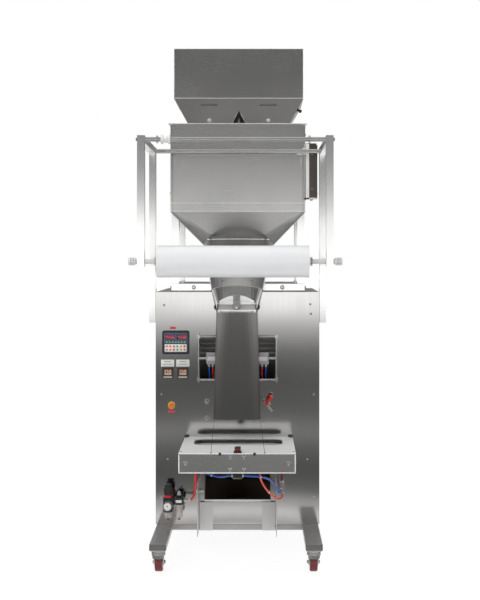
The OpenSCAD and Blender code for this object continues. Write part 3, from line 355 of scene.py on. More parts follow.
def add_outline(mesh, points, depth, direction):
    """A flat outline of points in metres, thickened by depth millimetres along direction."""
    push = Vector(direction) * depth / 1000
    low = [mesh.verts.new(p) for p in points]
    high = [mesh.verts.new(p + push) for p in points]
    mesh.faces.new(low)
    mesh.faces.new(list(reversed(high)))
    for k in range(len(low)):
        n = (k + 1) % len(low)
        mesh.faces.new((low[k], high[k], high[n], low[n]))


def rounded(w, h, r, steps=5):
    """The outline of a rounded rectangle round its own middle, as (across, up) pairs."""
    out = []
    for cx, cy, start in ((w / 2 - r, h / 2 - r, 0), (r - w / 2, h / 2 - r, 90), (r - w / 2, r - h / 2, 180),
                          (w / 2 - r, r - h / 2, 270)):
        for k in range(steps + 1):
            a = math.radians(start + 90 * k / steps)
            out.append((cx + r * math.cos(a), cy + r * math.sin(a)))
    return out


def add_plate(mesh, x, z, w, h, r, u0, u1, edge=0.4):
    """A plate with rounded corners that stands on the front at x, z, from depth u0 to u1."""
    loops = []
    for u, inset in ((u0, 0.0), (u1 - edge, 0.0), (u1 - edge * 0.3, edge * 0.3), (u1, edge)):
        loops.append([mesh.verts.new(at(x + a, u, z + b)) for a, b in
                      rounded(w - 2 * inset, h - 2 * inset, max(r - inset, 0.05))])
    skin(mesh, loops)


def add_path_tube(mesh, path, diameter, sides=12):
    """A round bar swept along points in metres."""
    rings = []
    for i, p in enumerate(path):
        along = (path[min(i + 1, len(path) - 1)] - path[max(i - 1, 0)]).normalized()
        if i == 0:
            side = along.orthogonal().normalized()
        else:
            side = (side - along * side.dot(along)).normalized()
        up = along.cross(side)
        rings.append([mesh.verts.new(p + diameter / 2000 * (side * math.cos(2 * math.pi * k / sides)
                                                            + up * math.sin(2 * math.pi * k / sides)))
                      for k in range(sides)])
    skin(mesh, rings)


def add_rod(mesh, start, end, diameter, steps=4):
    """A straight thin rod between two points in metres."""
    add_path_tube(mesh, [start + (end - start) * k / steps for k in range(steps + 1)], diameter, 8)


def add_rods_round(mesh, corners, diameter):
    """Thin rods from corner to corner, and back to the first."""
    for start, end in zip(corners, corners[1:] + corners[:1]):
        add_rod(mesh, start, end, diameter)


def hex_head(mesh, origin, axis, across, height):
    """A hexagonal head with a chamfered top and a washer under it."""
    r = across / math.sqrt(3)
    add_turned(mesh, origin, axis, [(across * 0.78, 0), (across * 0.78, 1.0), (across * 0.74, 1.3)], 24)
    add_turned(mesh, origin, axis, [(r, 1.2), (r, height - 1), (r * 0.9, height), (r * 0.5, height + 0.1)], 6)


def socket_head(mesh, origin, axis, diameter, height):
    """A cap screw's round head with its hexagonal socket."""
    r = diameter / 2
    add_turned(mesh, origin, axis, [(r, 0), (r, height - 0.6), (r - 0.6, height), (r * 0.55, height),
                                    (r * 0.5, height - height * 0.5), (0, height - height * 0.55)], 24)


def dome_head(mesh, origin, axis, diameter, height):
    """A low domed head."""
    r = diameter / 2
    arc = [(r * math.cos(math.radians(t)), height * math.sin(math.radians(t))) for t in range(0, 91, 15)]
    add_turned(mesh, origin, axis, [(r, -0.2)] + arc[:-1] + [(0, height)], 24)


def piece(name, mesh, material, body=MACHINE):
    """Makes the object, shades it, gives it its finish, and puts it on its body."""
    bmesh.ops.recalc_face_normals(mesh, faces=mesh.faces)
    data = bpy.data.meshes.new(name)
    mesh.to_mesh(data)
    mesh.free()
    made = bpy.data.objects.new(name, data)
    bpy.context.scene.collection.objects.link(made)
    data.materials.append(material)
    for face in data.polygons:
        face.use_smooth = True
    data.set_sharp_from_angle(angle=math.radians(SHARP_ANGLE))
    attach(made, body)
    return made


def assemble(name, material, maker, rows, body=MACHINE):
    """A piece that holds the same kind of form many times: maker adds what each row gives to its mesh."""
    mesh = bmesh.new()
    for row in rows:
        maker(mesh, *row)
    piece(name, mesh, material, body)


SURFACES = {}


def front_of(node, x, z, offset=0.0):
    """The foremost point of a CAD node at x, z in millimetres, and its outward normal."""
    if node not in SURFACES:
        data = NODES[node].data
        SURFACES[node] = BVHTree.FromPolygons([v.co for v in data.vertices], [p.vertices for p in data.polygons])
    hit, normal, _, _ = SURFACES[node].ray_cast(Vector((x / 1000, -3.0, z / 1000)), Vector((0, 1, 0)))
    if hit is None:
        raise RuntimeError(f"nothing of {node} lies at x {x}, z {z}")
    if normal.y > 0:
        normal = -normal
    return hit + normal * offset / 1000, normal


def dress(material, *names):
    """Gives CAD nodes their finish."""
    for name in names:
        data = NODES[name].data
        if not data.materials:
            data.materials.append(material)
        for i in range(len(data.materials)):
            data.materials[i] = material


# Sizes and colours that a user may change


class PackagingFinishSettings(bpy.types.PropertyGroup):
    roughness: bpy.props.FloatProperty(
        name="Steel roughness", description="Roughness of the brushed steel", default=0.30, min=0.1, max=0.7)
    button_colour: bpy.props.FloatVectorProperty(
        name="Button", description="Colour of the push button's cap", subtype="COLOR", size=3,
        default=linear(232, 112, 20)[:3], min=0.0, max=1.0)
    film_colour: bpy.props.FloatVectorProperty(
        name="Film", description="Colour of the film on the reel", subtype="COLOR", size=3,
        default=linear(232, 233, 234)[:3], min=0.0, max=1.0)
    wheel_colour: bpy.props.FloatVectorProperty(
        name="Wheels", description="Colour of the casters' treads", subtype="COLOR", size=3,
        default=linear(122, 28, 40)[:3], min=0.0, max=1.0)


class PackagingSizeSettings(bpy.types.PropertyGroup):
    bolt_across: bpy.props.FloatProperty(
        name="Panel bolts", description="Width across flats of the cabinet's bolts, in mm", default=10.0, min=6.0,
        max=16.0)
    camera_distance: bpy.props.FloatProperty(
        name="Camera distance", description="Distance of the camera in front of the panel", default=4.2, min=2.0,
        max=9.0, unit="LENGTH")
    camera_height: bpy.props.FloatProperty(
        name="Camera height", description="Height of the camera above the floor", default=1.29, min=0.5, max=2.5,
        unit="LENGTH")
    camera_side: bpy.props.FloatProperty(
        name="Camera offset", description="Sideways offset of the camera", default=0.09, min=-1.0, max=1.0,
        unit="LENGTH")
    floor_size: bpy.props.FloatProperty(
        name="Floor", description="Side of the studio floor", default=40.0, min=10.0, max=90.0, unit="LENGTH")


PHOTO_LENS = {"sensor_width": 36.0, "lens": 57.3, "shift_x": -0.03, "shift_y": -0.0667}
# Each lamp's name, place, aim, size and power
LAMPS = (("key_lamp", (-2.6, -3.4, 3.6), (0, 0, 1.3), 2.4, 54), ("fill_lamp", (3.2, -3.0, 2.2), (0, 0, 1.0), 2.2, 26),
         ("top_lamp", (0.0, -0.6, 4.6), (0, 0, 1.0), 2.6, 50), ("rear_lamp", (0.6, 4.2, 3.2), (0, 0, 1.2), 2.6, 34))
# How much light the world gives plain surfaces, and how bright the floor shows itself and by what share
AMBIENT = 0.6
FLOOR_GLOW, FLOOR_SHARE = 1.11, 0.8


class PACKAGING_OT_stage(bpy.types.Operator):
    """Sets up the camera, the pale floor, the soft lamps and the white surroundings"""

    bl_idname = "packaging.stage"
    bl_label = "Stage"

    def execute(self, context):
        sizes = context.scene.packaging_sizes
        scene = context.scene
        scene.view_settings.view_transform = "Standard"
        lens = bpy.data.cameras.new("photo_camera")
        camera = bpy.data.objects.new("photo_camera", lens)
        scene.collection.objects.link(camera)
        camera.location = (sizes.camera_side, PANEL_Y - sizes.camera_distance, sizes.camera_height)
        camera.rotation_euler = (math.pi / 2, 0, 0)
        for name, value in PHOTO_LENS.items():
            setattr(lens, name, value)
        scene.camera = camera
        make_world(scene)
        make_floor(sizes.floor_size)
        make_cards()
        for values in LAMPS:
            lamp(*values)
        return {"FINISHED"}


def make_world(scene):
    """White for what the camera, metal and glass see, and a plain level of light on everything else."""
    world = bpy.data.worlds.new("studio")
    scene.world = world
    world.use_nodes = True
    tree = world.node_tree
    background = tree.nodes["Background"]
    background.inputs["Color"].default_value = (1, 1, 1, 1)
    path = tree.nodes.new("ShaderNodeLightPath")
    seen = math_node(tree, "MAXIMUM", path.outputs["Is Camera Ray"], path.outputs["Is Transmission Ray"])
    seen = math_node(tree, "MAXIMUM", seen, path.outputs["Is Glossy Ray"])
    tree.links.new(math_node(tree, "MAXIMUM", seen, AMBIENT), background.inputs["Strength"])


def stage_object(name, mesh, material):
    data = bpy.data.meshes.new(name)
    mesh.to_mesh(data)
    mesh.free()
    data.materials.append(material)
    made = bpy.data.objects.new(name, data)
    bpy.context.scene.collection.objects.link(made)
    return made


def make_floor(size):
    """A pale floor that reads white away from the machine and keeps its shadow."""
    mesh = bmesh.new()
    bmesh.ops.create_grid(mesh, x_segments=8, y_segments=8, size=size / 2)
    material = bpy.data.materials.new("studio_floor")
    material.use_nodes = True
    tree = material.node_tree
    tree.nodes.remove(tree.nodes["Principled BSDF"])
    diffuse = tree.nodes.new("ShaderNodeBsdfDiffuse")
    diffuse.inputs["Color"].default_value = (0.93, 0.93, 0.93, 1)
    white = tree.nodes.new("ShaderNodeEmission")
    white.inputs["Strength"].default_value = FLOOR_GLOW
    both = tree.nodes.new("ShaderNodeMixShader")
    path = tree.nodes.new("ShaderNodeLightPath")
    seen = math_node(tree, "MAXIMUM", path.outputs["Is Camera Ray"], path.outputs["Is Glossy Ray"])
    tree.links.new(math_node(tree, "MULTIPLY", seen, FLOOR_SHARE), both.inputs["Fac"])
    tree.links.new(diffuse.outputs[0], both.inputs[1])
    tree.links.new(white.outputs[0], both.inputs[2])
    tree.links.new(both.outputs[0], tree.nodes["Material Output"].inputs["Surface"])
    stage_object("studio_floor", mesh, material)


def card_material(name, stops, reach, strength, radial):
    """Light from a studio card that changes with height, or with the distance from the middle."""
    material = bpy.data.materials.new(name)
    material.use_nodes = True
    tree = material.node_tree
    tree.nodes.remove(tree.nodes["Principled BSDF"])
    place = tree.nodes.new("ShaderNodeTexCoord").outputs["Object"]
    if radial:
        length = tree.nodes.new("ShaderNodeVectorMath")
        length.operation = "LENGTH"
        tree.links.new(place, length.inputs[0])
        value = length.outputs["Value"]
    else:
        split = tree.nodes.new("ShaderNodeSeparateXYZ")
        tree.links.new(place, split.inputs[0])
        value = split.outputs["Z"]
    ramp = tree.nodes.new("ShaderNodeValToRGB")
    ramp.color_ramp.interpolation = "EASE"
    elements = ramp.color_ramp.elements
    while len(elements) < len(stops):
        elements.new(0.5)
    for element, (where, level) in zip(elements, stops):
        element.position = where / reach
        element.color = (level, level, level, 1)
    tree.links.new(spread(tree, value, 0.0, reach, 0.0, 1.0), ramp.inputs["Fac"])
    glow = tree.nodes.new("ShaderNodeEmission")
    glow.inputs["Strength"].default_value = strength
    tree.links.new(ramp.outputs["Color"], glow.inputs["Color"])
    tree.links.new(glow.outputs[0], tree.nodes["Material Output"].inputs["Surface"])
    return material


# The studio's radius and height, its cards' strength, and their levels as (distance or height, level) pairs
ROOM_RADIUS, ROOM_HEIGHT = 7.0, 5.0
CARD_STRENGTH = 1.6
WALL_STOPS = [(0.0, 0.08), (0.2, 0.10), (0.5, 0.36), (0.8, 1.0), (1.6, 0.85), (2.0, 0.32), (2.4, 0.17), (2.9, 0.14),
              (3.3, 0.08), (4.2, 0.075), (5.0, 0.14)]
GROUND_STOPS = [(0.55, 0.30), (0.8, 0.56), (1.0, 0.34), (1.3, 0.10), (1.8, 0.07), (2.4, 0.10), (3.1, 0.20), (4.0, 0.09),
                (7.0, 0.06)]
CEILING_STOPS = [(0.0, 0.42), (1.5, 0.34), (4.0, 0.18), (7.0, 0.12)]


def flat_ring(inner, outer, height, sides=64):
    mesh = bmesh.new()
    rings = [[mesh.verts.new((r * math.cos(a), r * math.sin(a), height))
              for a in (2 * math.pi * k / sides for k in range(sides))] for r in (inner, outer)]
    for k in range(sides):
        n = (k + 1) % sides
        mesh.faces.new((rings[0][k], rings[1][k], rings[1][n], rings[0][n]))
    return mesh


def make_cards():
    """Studio cards all round the machine, which only metal and gloss show."""
    wall = bmesh.new()
    bmesh.ops.create_cone(wall, cap_ends=False, segments=64, radius1=ROOM_RADIUS, radius2=ROOM_RADIUS,
                          depth=ROOM_HEIGHT, matrix=Matrix.Translation((0, 0, ROOM_HEIGHT / 2)))
    cards = (("wall_card", wall, WALL_STOPS, ROOM_HEIGHT, False),
             ("ground_card", flat_ring(0.55, ROOM_RADIUS, 0.002), GROUND_STOPS, ROOM_RADIUS, True),
             ("ceiling_card", flat_ring(0.01, ROOM_RADIUS, 0.0), CEILING_STOPS, ROOM_RADIUS, True))
    for name, mesh, stops, reach, radial in cards:
        card = stage_object(name, mesh, card_material(name, stops, reach, CARD_STRENGTH, radial))
        if name == "ceiling_card":
            card.location.z = ROOM_HEIGHT
        card.visible_camera = card.visible_diffuse = card.visible_shadow = False
        card.visible_transmission = card.visible_volume_scatter = False


def lamp(name, place, aim, size, power):
    light = bpy.data.lights.new(name, "AREA")
    light.size = size
    light.energy = power
    made = bpy.data.objects.new(name, light)
    bpy.context.scene.collection.objects.link(made)
    made.location = place
    made.rotation_euler = (Vector(aim) - Vector(place)).to_track_quat("-Z", "Y").to_euler()
    made.visible_camera = made.visible_glossy = False


def smooth_route(points, steps=8):
    """A spline through points of (x, u, z), as world points close together; its end stretches stay straight."""
    out = []
    last = len(points) - 1
    for i in range(last):
        for s in range(steps):
            t = s / steps
            if i in (0, last - 1):
                out.append(at(*[p + (q - p) * t for p, q in zip(points[i], points[i + 1])]))
                continue
            a, b, c, d = points[i - 1:i + 3]
            out.append(at(*[
                0.5 * (2 * b[k] + (c[k] - a[k]) * t + (2 * a[k] - 5 * b[k] + 4 * c[k] - d[k]) * t * t
                       + (3 * b[k] - a[k] - 3 * c[k] + d[k]) * t ** 3) for k in range(3)]))
    out.append(at(*points[-1]))
    return out


# Each hose's colour, diameter, and route as (x, u, z) points; the ones behind the panel's window share a route
PANEL_HOSE = [(0, 4, 829), (0, 4, 814), (0, -12, 788), (0, -22, 768), (0, -22, 756)]
HOSES = {
    "red_hose": ("red", 10, [(-210, 60, 250), (-202, 60, 250), (-186, 88, 275), (-177, 130, 330), (-176, 150, 380),
                             (-176, 150, 412)]),
    "blue_hose_left": ("blue", 8, [(-150, 170, 412), (-150, 170, 404), (-122, 190, 392), (-70, 230, 388),
                                   (-30, 280, 404), (-12, 280, 404)]),
    "blue_hose_right": ("blue", 8, [(24, 280, 404), (40, 280, 404), (66, 280, 402), (96, 262, 396), (132, 214, 376),
                                    (158, 168, 345), (174, 132, 308), (186, 96, 290), (190, 60, 290), (190, 36, 290)]),
    "orange_hose": ("orange", 8, [(98, 240, 412), (98, 240, 398), (104, 212, 368), (126, 174, 322), (152, 146, 290),
                                  (178, 122, 270), (197, 80, 272), (197, 36, 272)]),
    "drop_hose": ("dark red", 8, [(195, 24, 318), (195, 24, 365), (195, 24, 412)]),
}
for number, across in enumerate((-124, -108, 108, 124)):
    HOSES[f"panel_hose_{number}"] = ("red" if number in (1, 2) else "blue", 6,
                                     [(x + across, u, z) for x, u, z in PANEL_HOSE])


class PACKAGING_OT_hoses(bpy.types.Operator):
    """Lays the air hoses between their fittings"""

    bl_idname = "packaging.hoses"
    bl_label = "Air hoses"

    def execute(self, context):
        colours = {
            "red": plastic("hose_red", (214, 30, 24), 0.3, coat=0.3),
            "blue": plastic("hose_blue", (28, 84, 190), 0.3, coat=0.3),
            "orange": plastic("hose_orange", (226, 62, 22), 0.3, coat=0.3),
            "dark red": plastic("hose_dark_red", (120, 20, 24), 0.35, coat=0.2),
        }
        for name, (colour, diameter, route) in HOSES.items():
            points = smooth_route(route)
            mesh = bmesh.new()
            add_path_tube(mesh, points, diameter, 16)
            hose = piece(name, mesh, colours[colour])
            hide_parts("air_hoses")
        return {"FINISHED"}


class PACKAGING_OT_metalwork(bpy.types.Operator):
    """Finishes the cabinet, weigher, hopper, chute, frames and casters"""

    bl_idname = "packaging.metalwork"
    bl_label = "Metalwork finishes"

    def execute(self, context):
        rough = context.scene.packaging_finish.roughness
        dress(steel("panel_steel", (206, 205, 203), ALONG_Z, rough - 0.19, clouds=0.35, cloud_scale=1.6, drawn=None),
              "front_panel")
        dress(steel("cabinet_steel", (204, 203, 200), ALONG_Z, rough), "cabinet_shell", "rear_door")
        dress(steel("guard_steel", (222, 221, 219), ALONG_Z, 0.3, metallic=0.55), "guard_plates")
        dress(steel("discharge_steel", (176, 158, 146), ALONG_Y, rough), "discharge_chute")
        dress(steel("weigher_steel", (214, 213, 211), ALONG_X, rough - 0.06, clouds=0.5), "weigher_body",
              "weigher_lid")
        dress(steel("funnel_steel", (226, 225, 224), ALONG_X, rough, metallic=0.75, clouds=0.5), "weigher_funnel")
        dress(steel("hopper_steel", (206, 205, 203), ALONG_X, rough - 0.04, clouds=0.5), "supply_hopper")
        dress(steel("chute_steel", (206, 205, 202), ALONG_X, 0.24), "feed_chute")
        dress(steel("collar_steel", (104, 103, 101), ALONG_Z, 0.26, clouds=0.5), "outlet_collar")
        dress(steel("tube_steel", (140, 139, 137), ALONG_Z, 0.36, bump=0.00008), "forming_tube")
        dress(steel("sealing_steel", (204, 203, 202), ALONG_X, 0.3), "sealing_housing")
        dress(steel("cover_steel", (244, 244, 243), ALONG_X, 0.4, metallic=0.1), "housing_cover")
        dress(steel("frame_steel", (244, 244, 243), ALONG_Z, 0.16, metallic=0.95), "film_frame", "stand")
        dress(steel("base_steel", (176, 175, 173), ALONG_Y, 0.3, metallic=0.75), "base_frame")
        dress(steel("rod_steel", (226, 226, 224), ALONG_X, 0.16, metallic=0.95), "seal_frame", "front_roller",
              "rear_roller", "jaw_guides")
        dress(steel("shaft_pale", (240, 240, 238), ALONG_X, 0.3, metallic=0.25), "reel_shaft")
        dress(steel("inner_steel", (190, 189, 187), ALONG_Z, 0.35), "vibratory_feeders", "weigh_buckets",
              "bucket_flap_left", "bucket_flap_right", "flow_gate_left", "flow_gate_right")
        dress(steel("zinc_steel", (200, 200, 198), (240.0, 240.0, 240.0), 0.32, clouds=0.7, cloud_scale=40.0),
              "cabinet_frame", "caster_plates", "door_lock", *[f"caster_fork_{i}" for i in range(1, 5)])
        dress(steel("jaw_steel", (226, 226, 224), ALONG_X, 0.35, metallic=0.3), "front_jaw", "rear_jaw", "seal_bar")
        dress(steel("knife_steel", (220, 220, 220), ALONG_X, 0.12), "cut_off_knife")
        dress(steel("cylinder_metal", (206, 206, 206), ALONG_X, 0.4), "air_cylinders")
        dress(steel("fitting_metal", (190, 185, 176), (300.0, 300.0, 300.0), 0.3), "hose_fittings", "hand_valve")
        return {"FINISHED"}


class PACKAGING_OT_fittings(bpy.types.Operator):
    """Finishes the plastic, rubber and film parts"""

    bl_idname = "packaging.fittings"
    bl_label = "Plastic, rubber and film finishes"

    def execute(self, context):
        settings = context.scene.packaging_finish
        black = plastic("case_black", (34, 34, 37), 0.45)
        dress(black, "controller", "temperature_controllers", "bag_sensor", "air_filter", "regulator_knob")
        dress(steel("box_grey", (104, 98, 93), ALONG_Z, 0.35, metallic=0.85), "weigher_box")
        dress(plastic("device_grey", (172, 174, 172), 0.5), "electrical_plate")
        dress(plastic("ring_yellow", (240, 190, 30), 0.32, coat=0.4), "button_base")
        cap = tuple(settings.button_colour) + (1.0,)
        dress(finish("cap_orange", cap, dark(cap, 0.8), 0.0, 0.3, lines=0.1, clouds=0.2, coat=0.4), "push_button")
        dress(plastic("grip_red", (206, 22, 26), 0.3, coat=0.5), "valve_lever")
        dress(plastic("bowl_clear", (226, 216, 210), 0.1, alpha=0.42, coat=0.6), "air_bowls")
        dress(plastic("gauge_white", (236, 236, 232), 0.3, coat=0.3), "pressure_gauge")
        film = tuple(settings.film_colour) + (1.0,)
        dress(finish("film_white", film, dark(film, 0.93), 0.0, 0.32, stretch=(900.0, 30.0, 30.0), lines=0.3,
                     clouds=0.4, cloud_scale=5.0, wear=0.0, dust=0.05, coat=0.35, subsurface=0.2), "film_reel")
        tread = tuple(settings.wheel_colour) + (1.0,)
        dress(finish("tread_maroon", tread, dark(tread, 0.7), 0.0, 0.42, stretch=(300.0, 300.0, 300.0), lines=0.3,
                     clouds=0.4, cloud_scale=60.0, wear=0.2, dust=0.3), *[f"caster_wheel_{i}" for i in range(1, 5)])
        return {"FINISHED"}


# How far a swivel's axis lies ahead of its wheel's, and the outer and inner radius of the fork's skirt, in metres
SWIVEL_AHEAD = 0.028
SKIRT_RADII = (0.0275, 0.0258)
HUB_DISC = [(26, 0), (26, 1.2), (24, 1.9), (14, 1.6), (9.5, 2.1)]


class PACKAGING_OT_casters(bpy.types.Operator):
    """Adds the wheels' hub discs, the axle nuts, and the swivels' rings and skirts"""

    bl_idname = "packaging.casters"
    bl_label = "Caster fittings"

    def execute(self, context):
        hub = steel("hub_metal", (196, 196, 194), (240.0, 240.0, 240.0), 0.28, clouds=0.5, cloud_scale=50.0)
        for i in range(1, 5):
            wheel, fork = f"caster_wheel_{i}", f"caster_fork_{i}"
            low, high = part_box(wheel)
            middle = (low + high) / 2
            assemble(f"hub_discs_{i}", hub, add_turned,
                     [(Vector((x - side * 0.0022, middle.y, middle.z)), (side, 0, 0), HUB_DISC)
                      for side, x in ends(wheel)], wheel)
            assemble(f"axle_nuts_{i}", hub, hex_head,
                     [(Vector((x - side * 0.0035, middle.y, middle.z)), (side, 0, 0), 11, 4.5)
                      for side, x in ends(fork)], fork)
            self.swivel(i, middle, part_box(fork)[1].z)
        return {"FINISHED"}

    def swivel(self, i, middle, top):
        """The swivel bearing's pale core and ridged rings, and the fork's skirt folded down before the wheel."""
        fork = f"caster_fork_{i}"
        axis = Vector((middle.x, middle.y - SWIVEL_AHEAD, 0))
        base = axis + Vector((0, 0, top - 0.0175))
        assemble(f"swivel_core_{i}", FINISHES["cover_steel"], add_turned,
                 [(base, UP, [(26.0, 0), (26.3, 0.4), (26.3, 16.2), (26.0, 16.6)], 48)], fork)
        mesh = bmesh.new()
        for z in (0.4, 6.2, 12.0):
            add_turned(mesh, base, UP, [(26.1, z), (28.4, z + 0.3), (28.4, z + 2.6), (26.1, z + 3.2)], 48)
        arc = [math.radians(a) for a in range(-150, -29, 8)]
        skirt = [axis + Vector((r * math.cos(a), r * math.sin(a), top - 0.0170))
                 for r, angles in zip(SKIRT_RADII, (arc, arc[::-1])) for a in angles]
        add_outline(mesh, skirt, 12, DOWN)
        piece(f"swivel_rings_{i}", mesh, FINISHES["tube_steel"], fork)


# The depth of the rear door's outer face, and a louvre's hood as (out of the face, up) pairs
DOOR_FACE = -603.3
LOUVRE = ((0.2, 8), (-5, 6), (-8, -2), (-7, -2.4), (-4.2, 4.6), (0.2, 6.6))
BOLTS = [(-323, 1092), (320, 1095), (323, 1053), (-307, 415), (307, 415), (-335, 700), (335, 700), (-335, 250),
         (335, 250)]
DOME_NUTS = [(-135, 668), (-135, 593)]


class PACKAGING_OT_fasteners(bpy.types.Operator):
    """Adds the cabinet's bolts, dome nuts and louvres, the foot beams' caps and a pale strip of painted highlight on
    the discharge lip's edge
    """

    bl_idname = "packaging.fasteners"
    bl_label = "Fasteners"

    def execute(self, context):
        bright = steel("bolt_steel", (206, 205, 202), (300.0, 300.0, 300.0), 0.22)
        across = context.scene.packaging_sizes.bolt_across
        assemble("panel_bolts", bright, dome_head, [(at(x, 0, z), TOWARD, across, 3) for x, z in BOLTS])
        mesh = bmesh.new()
        for x, z in DOME_NUTS:
            add_turned(mesh, at(x, 0, z), TOWARD, [(12, 0), (12, 1.4), (11.5, 1.8)], 32)
            add_turned(mesh, at(x, 1.6, z), TOWARD, [(9.5, 0), (9.5, 5), (9, 6)], 6)
            dome_head(mesh, at(x, 7.4, z), TOWARD, 16, 7)
        piece("dome_nuts", mesh, bright)
        # The pressed hoods over the slots of the rear door
        hoods = [([at(side * 57, DOOR_FACE + out, 819 + 24 * n + up) for out, up in LOUVRE], 146, (side, 0, 0))
                 for n in range(8) for side in (-1, 1)]
        assemble("door_louvres", FINISHES["cabinet_steel"], add_outline, hoods, "rear_door")
        assemble("beam_caps", steel("cap_steel", (128, 127, 125), ALONG_X, 0.4, metallic=0.8), add_block,
                 [((x - 34.6, x + 34.6), (299.5, 300.8), (102.6, 127.4), 0.5) for x in (-320, 320)])
        # A pale strip on the discharge lip's front edge: a painted highlight
        assemble("lip_edge_highlight", FINISHES["cover_steel"], add_block,
                 [((-145.6, 145.6), (11.7, 12.7), (231.4, 239.8), 0.4)])
        return {"FINISHED"}


KEY_ROWS = (("orange", "orange", "red", "green", "amber", "red"),
            ("orange", "orange", "red", "green", "gold", "orange"))
KEY_COLOURS = {"orange": (232, 110, 30), "red": (214, 52, 30), "green": (64, 150, 84), "amber": (226, 150, 40),
               "gold": (206, 160, 50)}
SEGMENTS = {"a": ((-1, 1), (1, 1)), "b": ((1, 1), (1, 0)), "c": ((1, 0), (1, -1)), "d": ((-1, -1), (1, -1)),
            "e": ((-1, 0), (-1, -1)), "f": ((-1, 1), (-1, 0)), "g": ((-1, 0), (1, 0))}
DIGITS = {"0": "abcdef", "8": "abcdefg", "5": "afgcd", "2": "abged", "1": "bc", "6": "afgecd"}
NAME_PLATES = (-307.5, -240.5)
NAME_PLATE_Z = 836.5


def add_digits(mesh, text, x, z, u, w, h, pitch):
    """Seven-segment digits, each bar a small plate."""
    for n, digit in enumerate(text):
        for name in DIGITS[digit]:
            (ax, az), (bx, bz) = SEGMENTS[name]
            cx = x + n * pitch + (ax + bx) / 2 * w / 2
            cz = z + (az + bz) / 2 * h / 2
            flat = az == bz
            add_plate(mesh, cx, cz, w * 0.9 if flat else w * 0.24, h * 0.11 if flat else h * 0.42, h * 0.04, u,
                      u + 0.25, 0.08)


def plates(name, material, rows):
    """A piece of plates on the machine's front."""
    assemble(name, material, add_plate, rows)


def lit(name, rgb, glow):
    """A display's glowing mark."""
    return plastic(name, rgb, 0.4, wear=0, dust=0, glow=linear(*glow))


class PACKAGING_OT_controls(bpy.types.Operator):
    """Adds the controller's face, its displays and keys, the temperature displays, labels and the button's plate"""

    bl_idname = "packaging.controls"
    bl_label = "Controls"

    def execute(self, context):
        x, z = face_middle("controller")
        plates("controller_face", plastic("face_blue_grey", (74, 92, 112), 0.32), [(x, z, 103, 88, 3, 12, 12.6)])
        plates("controller_windows", plastic("window_dark", (44, 50, 66), 0.12, coat=0.5, dust=0),
               [(x - 25, z + 24, 44, 21, 1.5, 12.6, 13.1), (x + 25, z + 24, 44, 21, 1.5, 12.6, 13.1),
                (x, z + 2, 94, 12, 1.5, 12.6, 13.0)])
        assemble("controller_digits", lit("digit_red", (206, 32, 48), (206, 24, 44)), add_digits,
                 [("0256", x - 40, z + 24, 13.1, 6.5, 13, 10), ("1508", x + 10, z + 24, 13.1, 6.5, 13, 10)])
        plates("controller_lines", lit("line_green", (140, 190, 160), (90, 150, 110)),
               [(x - 39 + 13 * n, z + 2, 8, 3.2, 0.6, 13.0, 13.2, 0.08) for n in range(7)])
        plates("keypad", plastic("keypad_white", (222, 222, 220), 0.35), [(x, z - 24, 96, 33, 2, 12.6, 13.2)])
        for colour, rgb in KEY_COLOURS.items():
            plates(f"keys_{colour}", plastic(f"key_{colour}", rgb, 0.35, coat=0.3),
                   [(x - 39 + 15.6 * c, z - 16.5 - 15 * r, 8.6, 7.6, 2, 13.2, 14.0, 0.35)
                    for r, row in enumerate(KEY_ROWS) for c, name in enumerate(row) if name == colour])
        plates("tag_plate", plastic("label_red", (206, 62, 62), 0.4), [(-284, 991.5, 25, 10, 1, 0, 0.8)])
        plates("name_plates", plastic("label_white", (226, 226, 222), 0.4),
               [(cx, NAME_PLATE_Z, 58, 31, 2, 0, 0.8) for cx in NAME_PLATES])
        plates("name_plate_bars", plastic("bar_grey", (150, 150, 152), 0.5),
               [(cx, NAME_PLATE_Z + dz, w, 3.4, 1, 0.8, 0.95, 0.05) for cx in NAME_PLATES
                for dz, w in ((6, 30), (-5, 44))])
        self.thermometers()
        x, z = face_middle("button_base")
        plates("button_label", FINISHES["label_red"], [(x, z - 27.5, 32, 10, 1.5, 0, 1.0)])
        assemble("button_collar", FINISHES["ring_yellow"], add_turned,
                 [(at(x, 8, z), TOWARD, [(15.3, 0), (15.3, 1.4), (14.2, 2.2), (12.6, 2.2), (12.4, 0)], 40)])
        return {"FINISHED"}

    def thermometers(self):
        """The windows, digits, strips and keys of the two temperature controllers."""
        z = face_middle("temperature_controllers")[1]
        middles = [x * 1000 - side * 24 for side, x in ends("temperature_controllers")]
        plates("thermo_windows", plastic("window_brown", (92, 72, 58), 0.16, coat=0.5, dust=0),
               [(x, z + 3, 37, 31, 1.5, 6, 6.6) for x in middles])
        assemble("thermo_digits", lit("digit_pale_red", (240, 170, 140), (220, 140, 110)), add_digits,
                 [("250", x - 10, z + 9, 6.6, 5, 10, 10) for x in middles])
        plates("thermo_strips", plastic("strip_pale", (196, 186, 168), 0.4, wear=0),
               [row for x in middles for row in ((x, z - 3.5, 30, 5, 0.6, 6.6, 6.9, 0.1),
                                                 (x, z - 17.5, 38, 7, 0.8, 6.4, 7.1, 0.1))])
        plates("thermo_keys", plastic("key_grey", (150, 150, 152), 0.4),
               [(x - 13.5 + 9 * n, z - 17.5, 6.2, 3.6, 1, 7, 7.8, 0.25) for x in middles for n in range(4)])


# The chute's window: half its width, the slot left open in its liner, and the depths of the liner and what is behind
WINDOW_HALF = 83.5
WINDOW_SLOT = (1080.0, 1102.0)
LINER_RECESS = 2.5
BACK_RECESS = 9.0
# Heights on the lower chute's face below and above its window, and where the strap leaves the bridged window
FACE_BELOW, FACE_ABOVE = 1069.0, 1134.0
STRAP_ON_FACE = 1136
# The mitre between the two chutes: its middle, its tilt, and its half width and half depth
SEAM = {"middle": (0, 88, 1158), "tilt": -21.7, "half": (0.1116, 0.0604)}


def flat(z):
    """A level edge across the window."""
    return lambda x: z


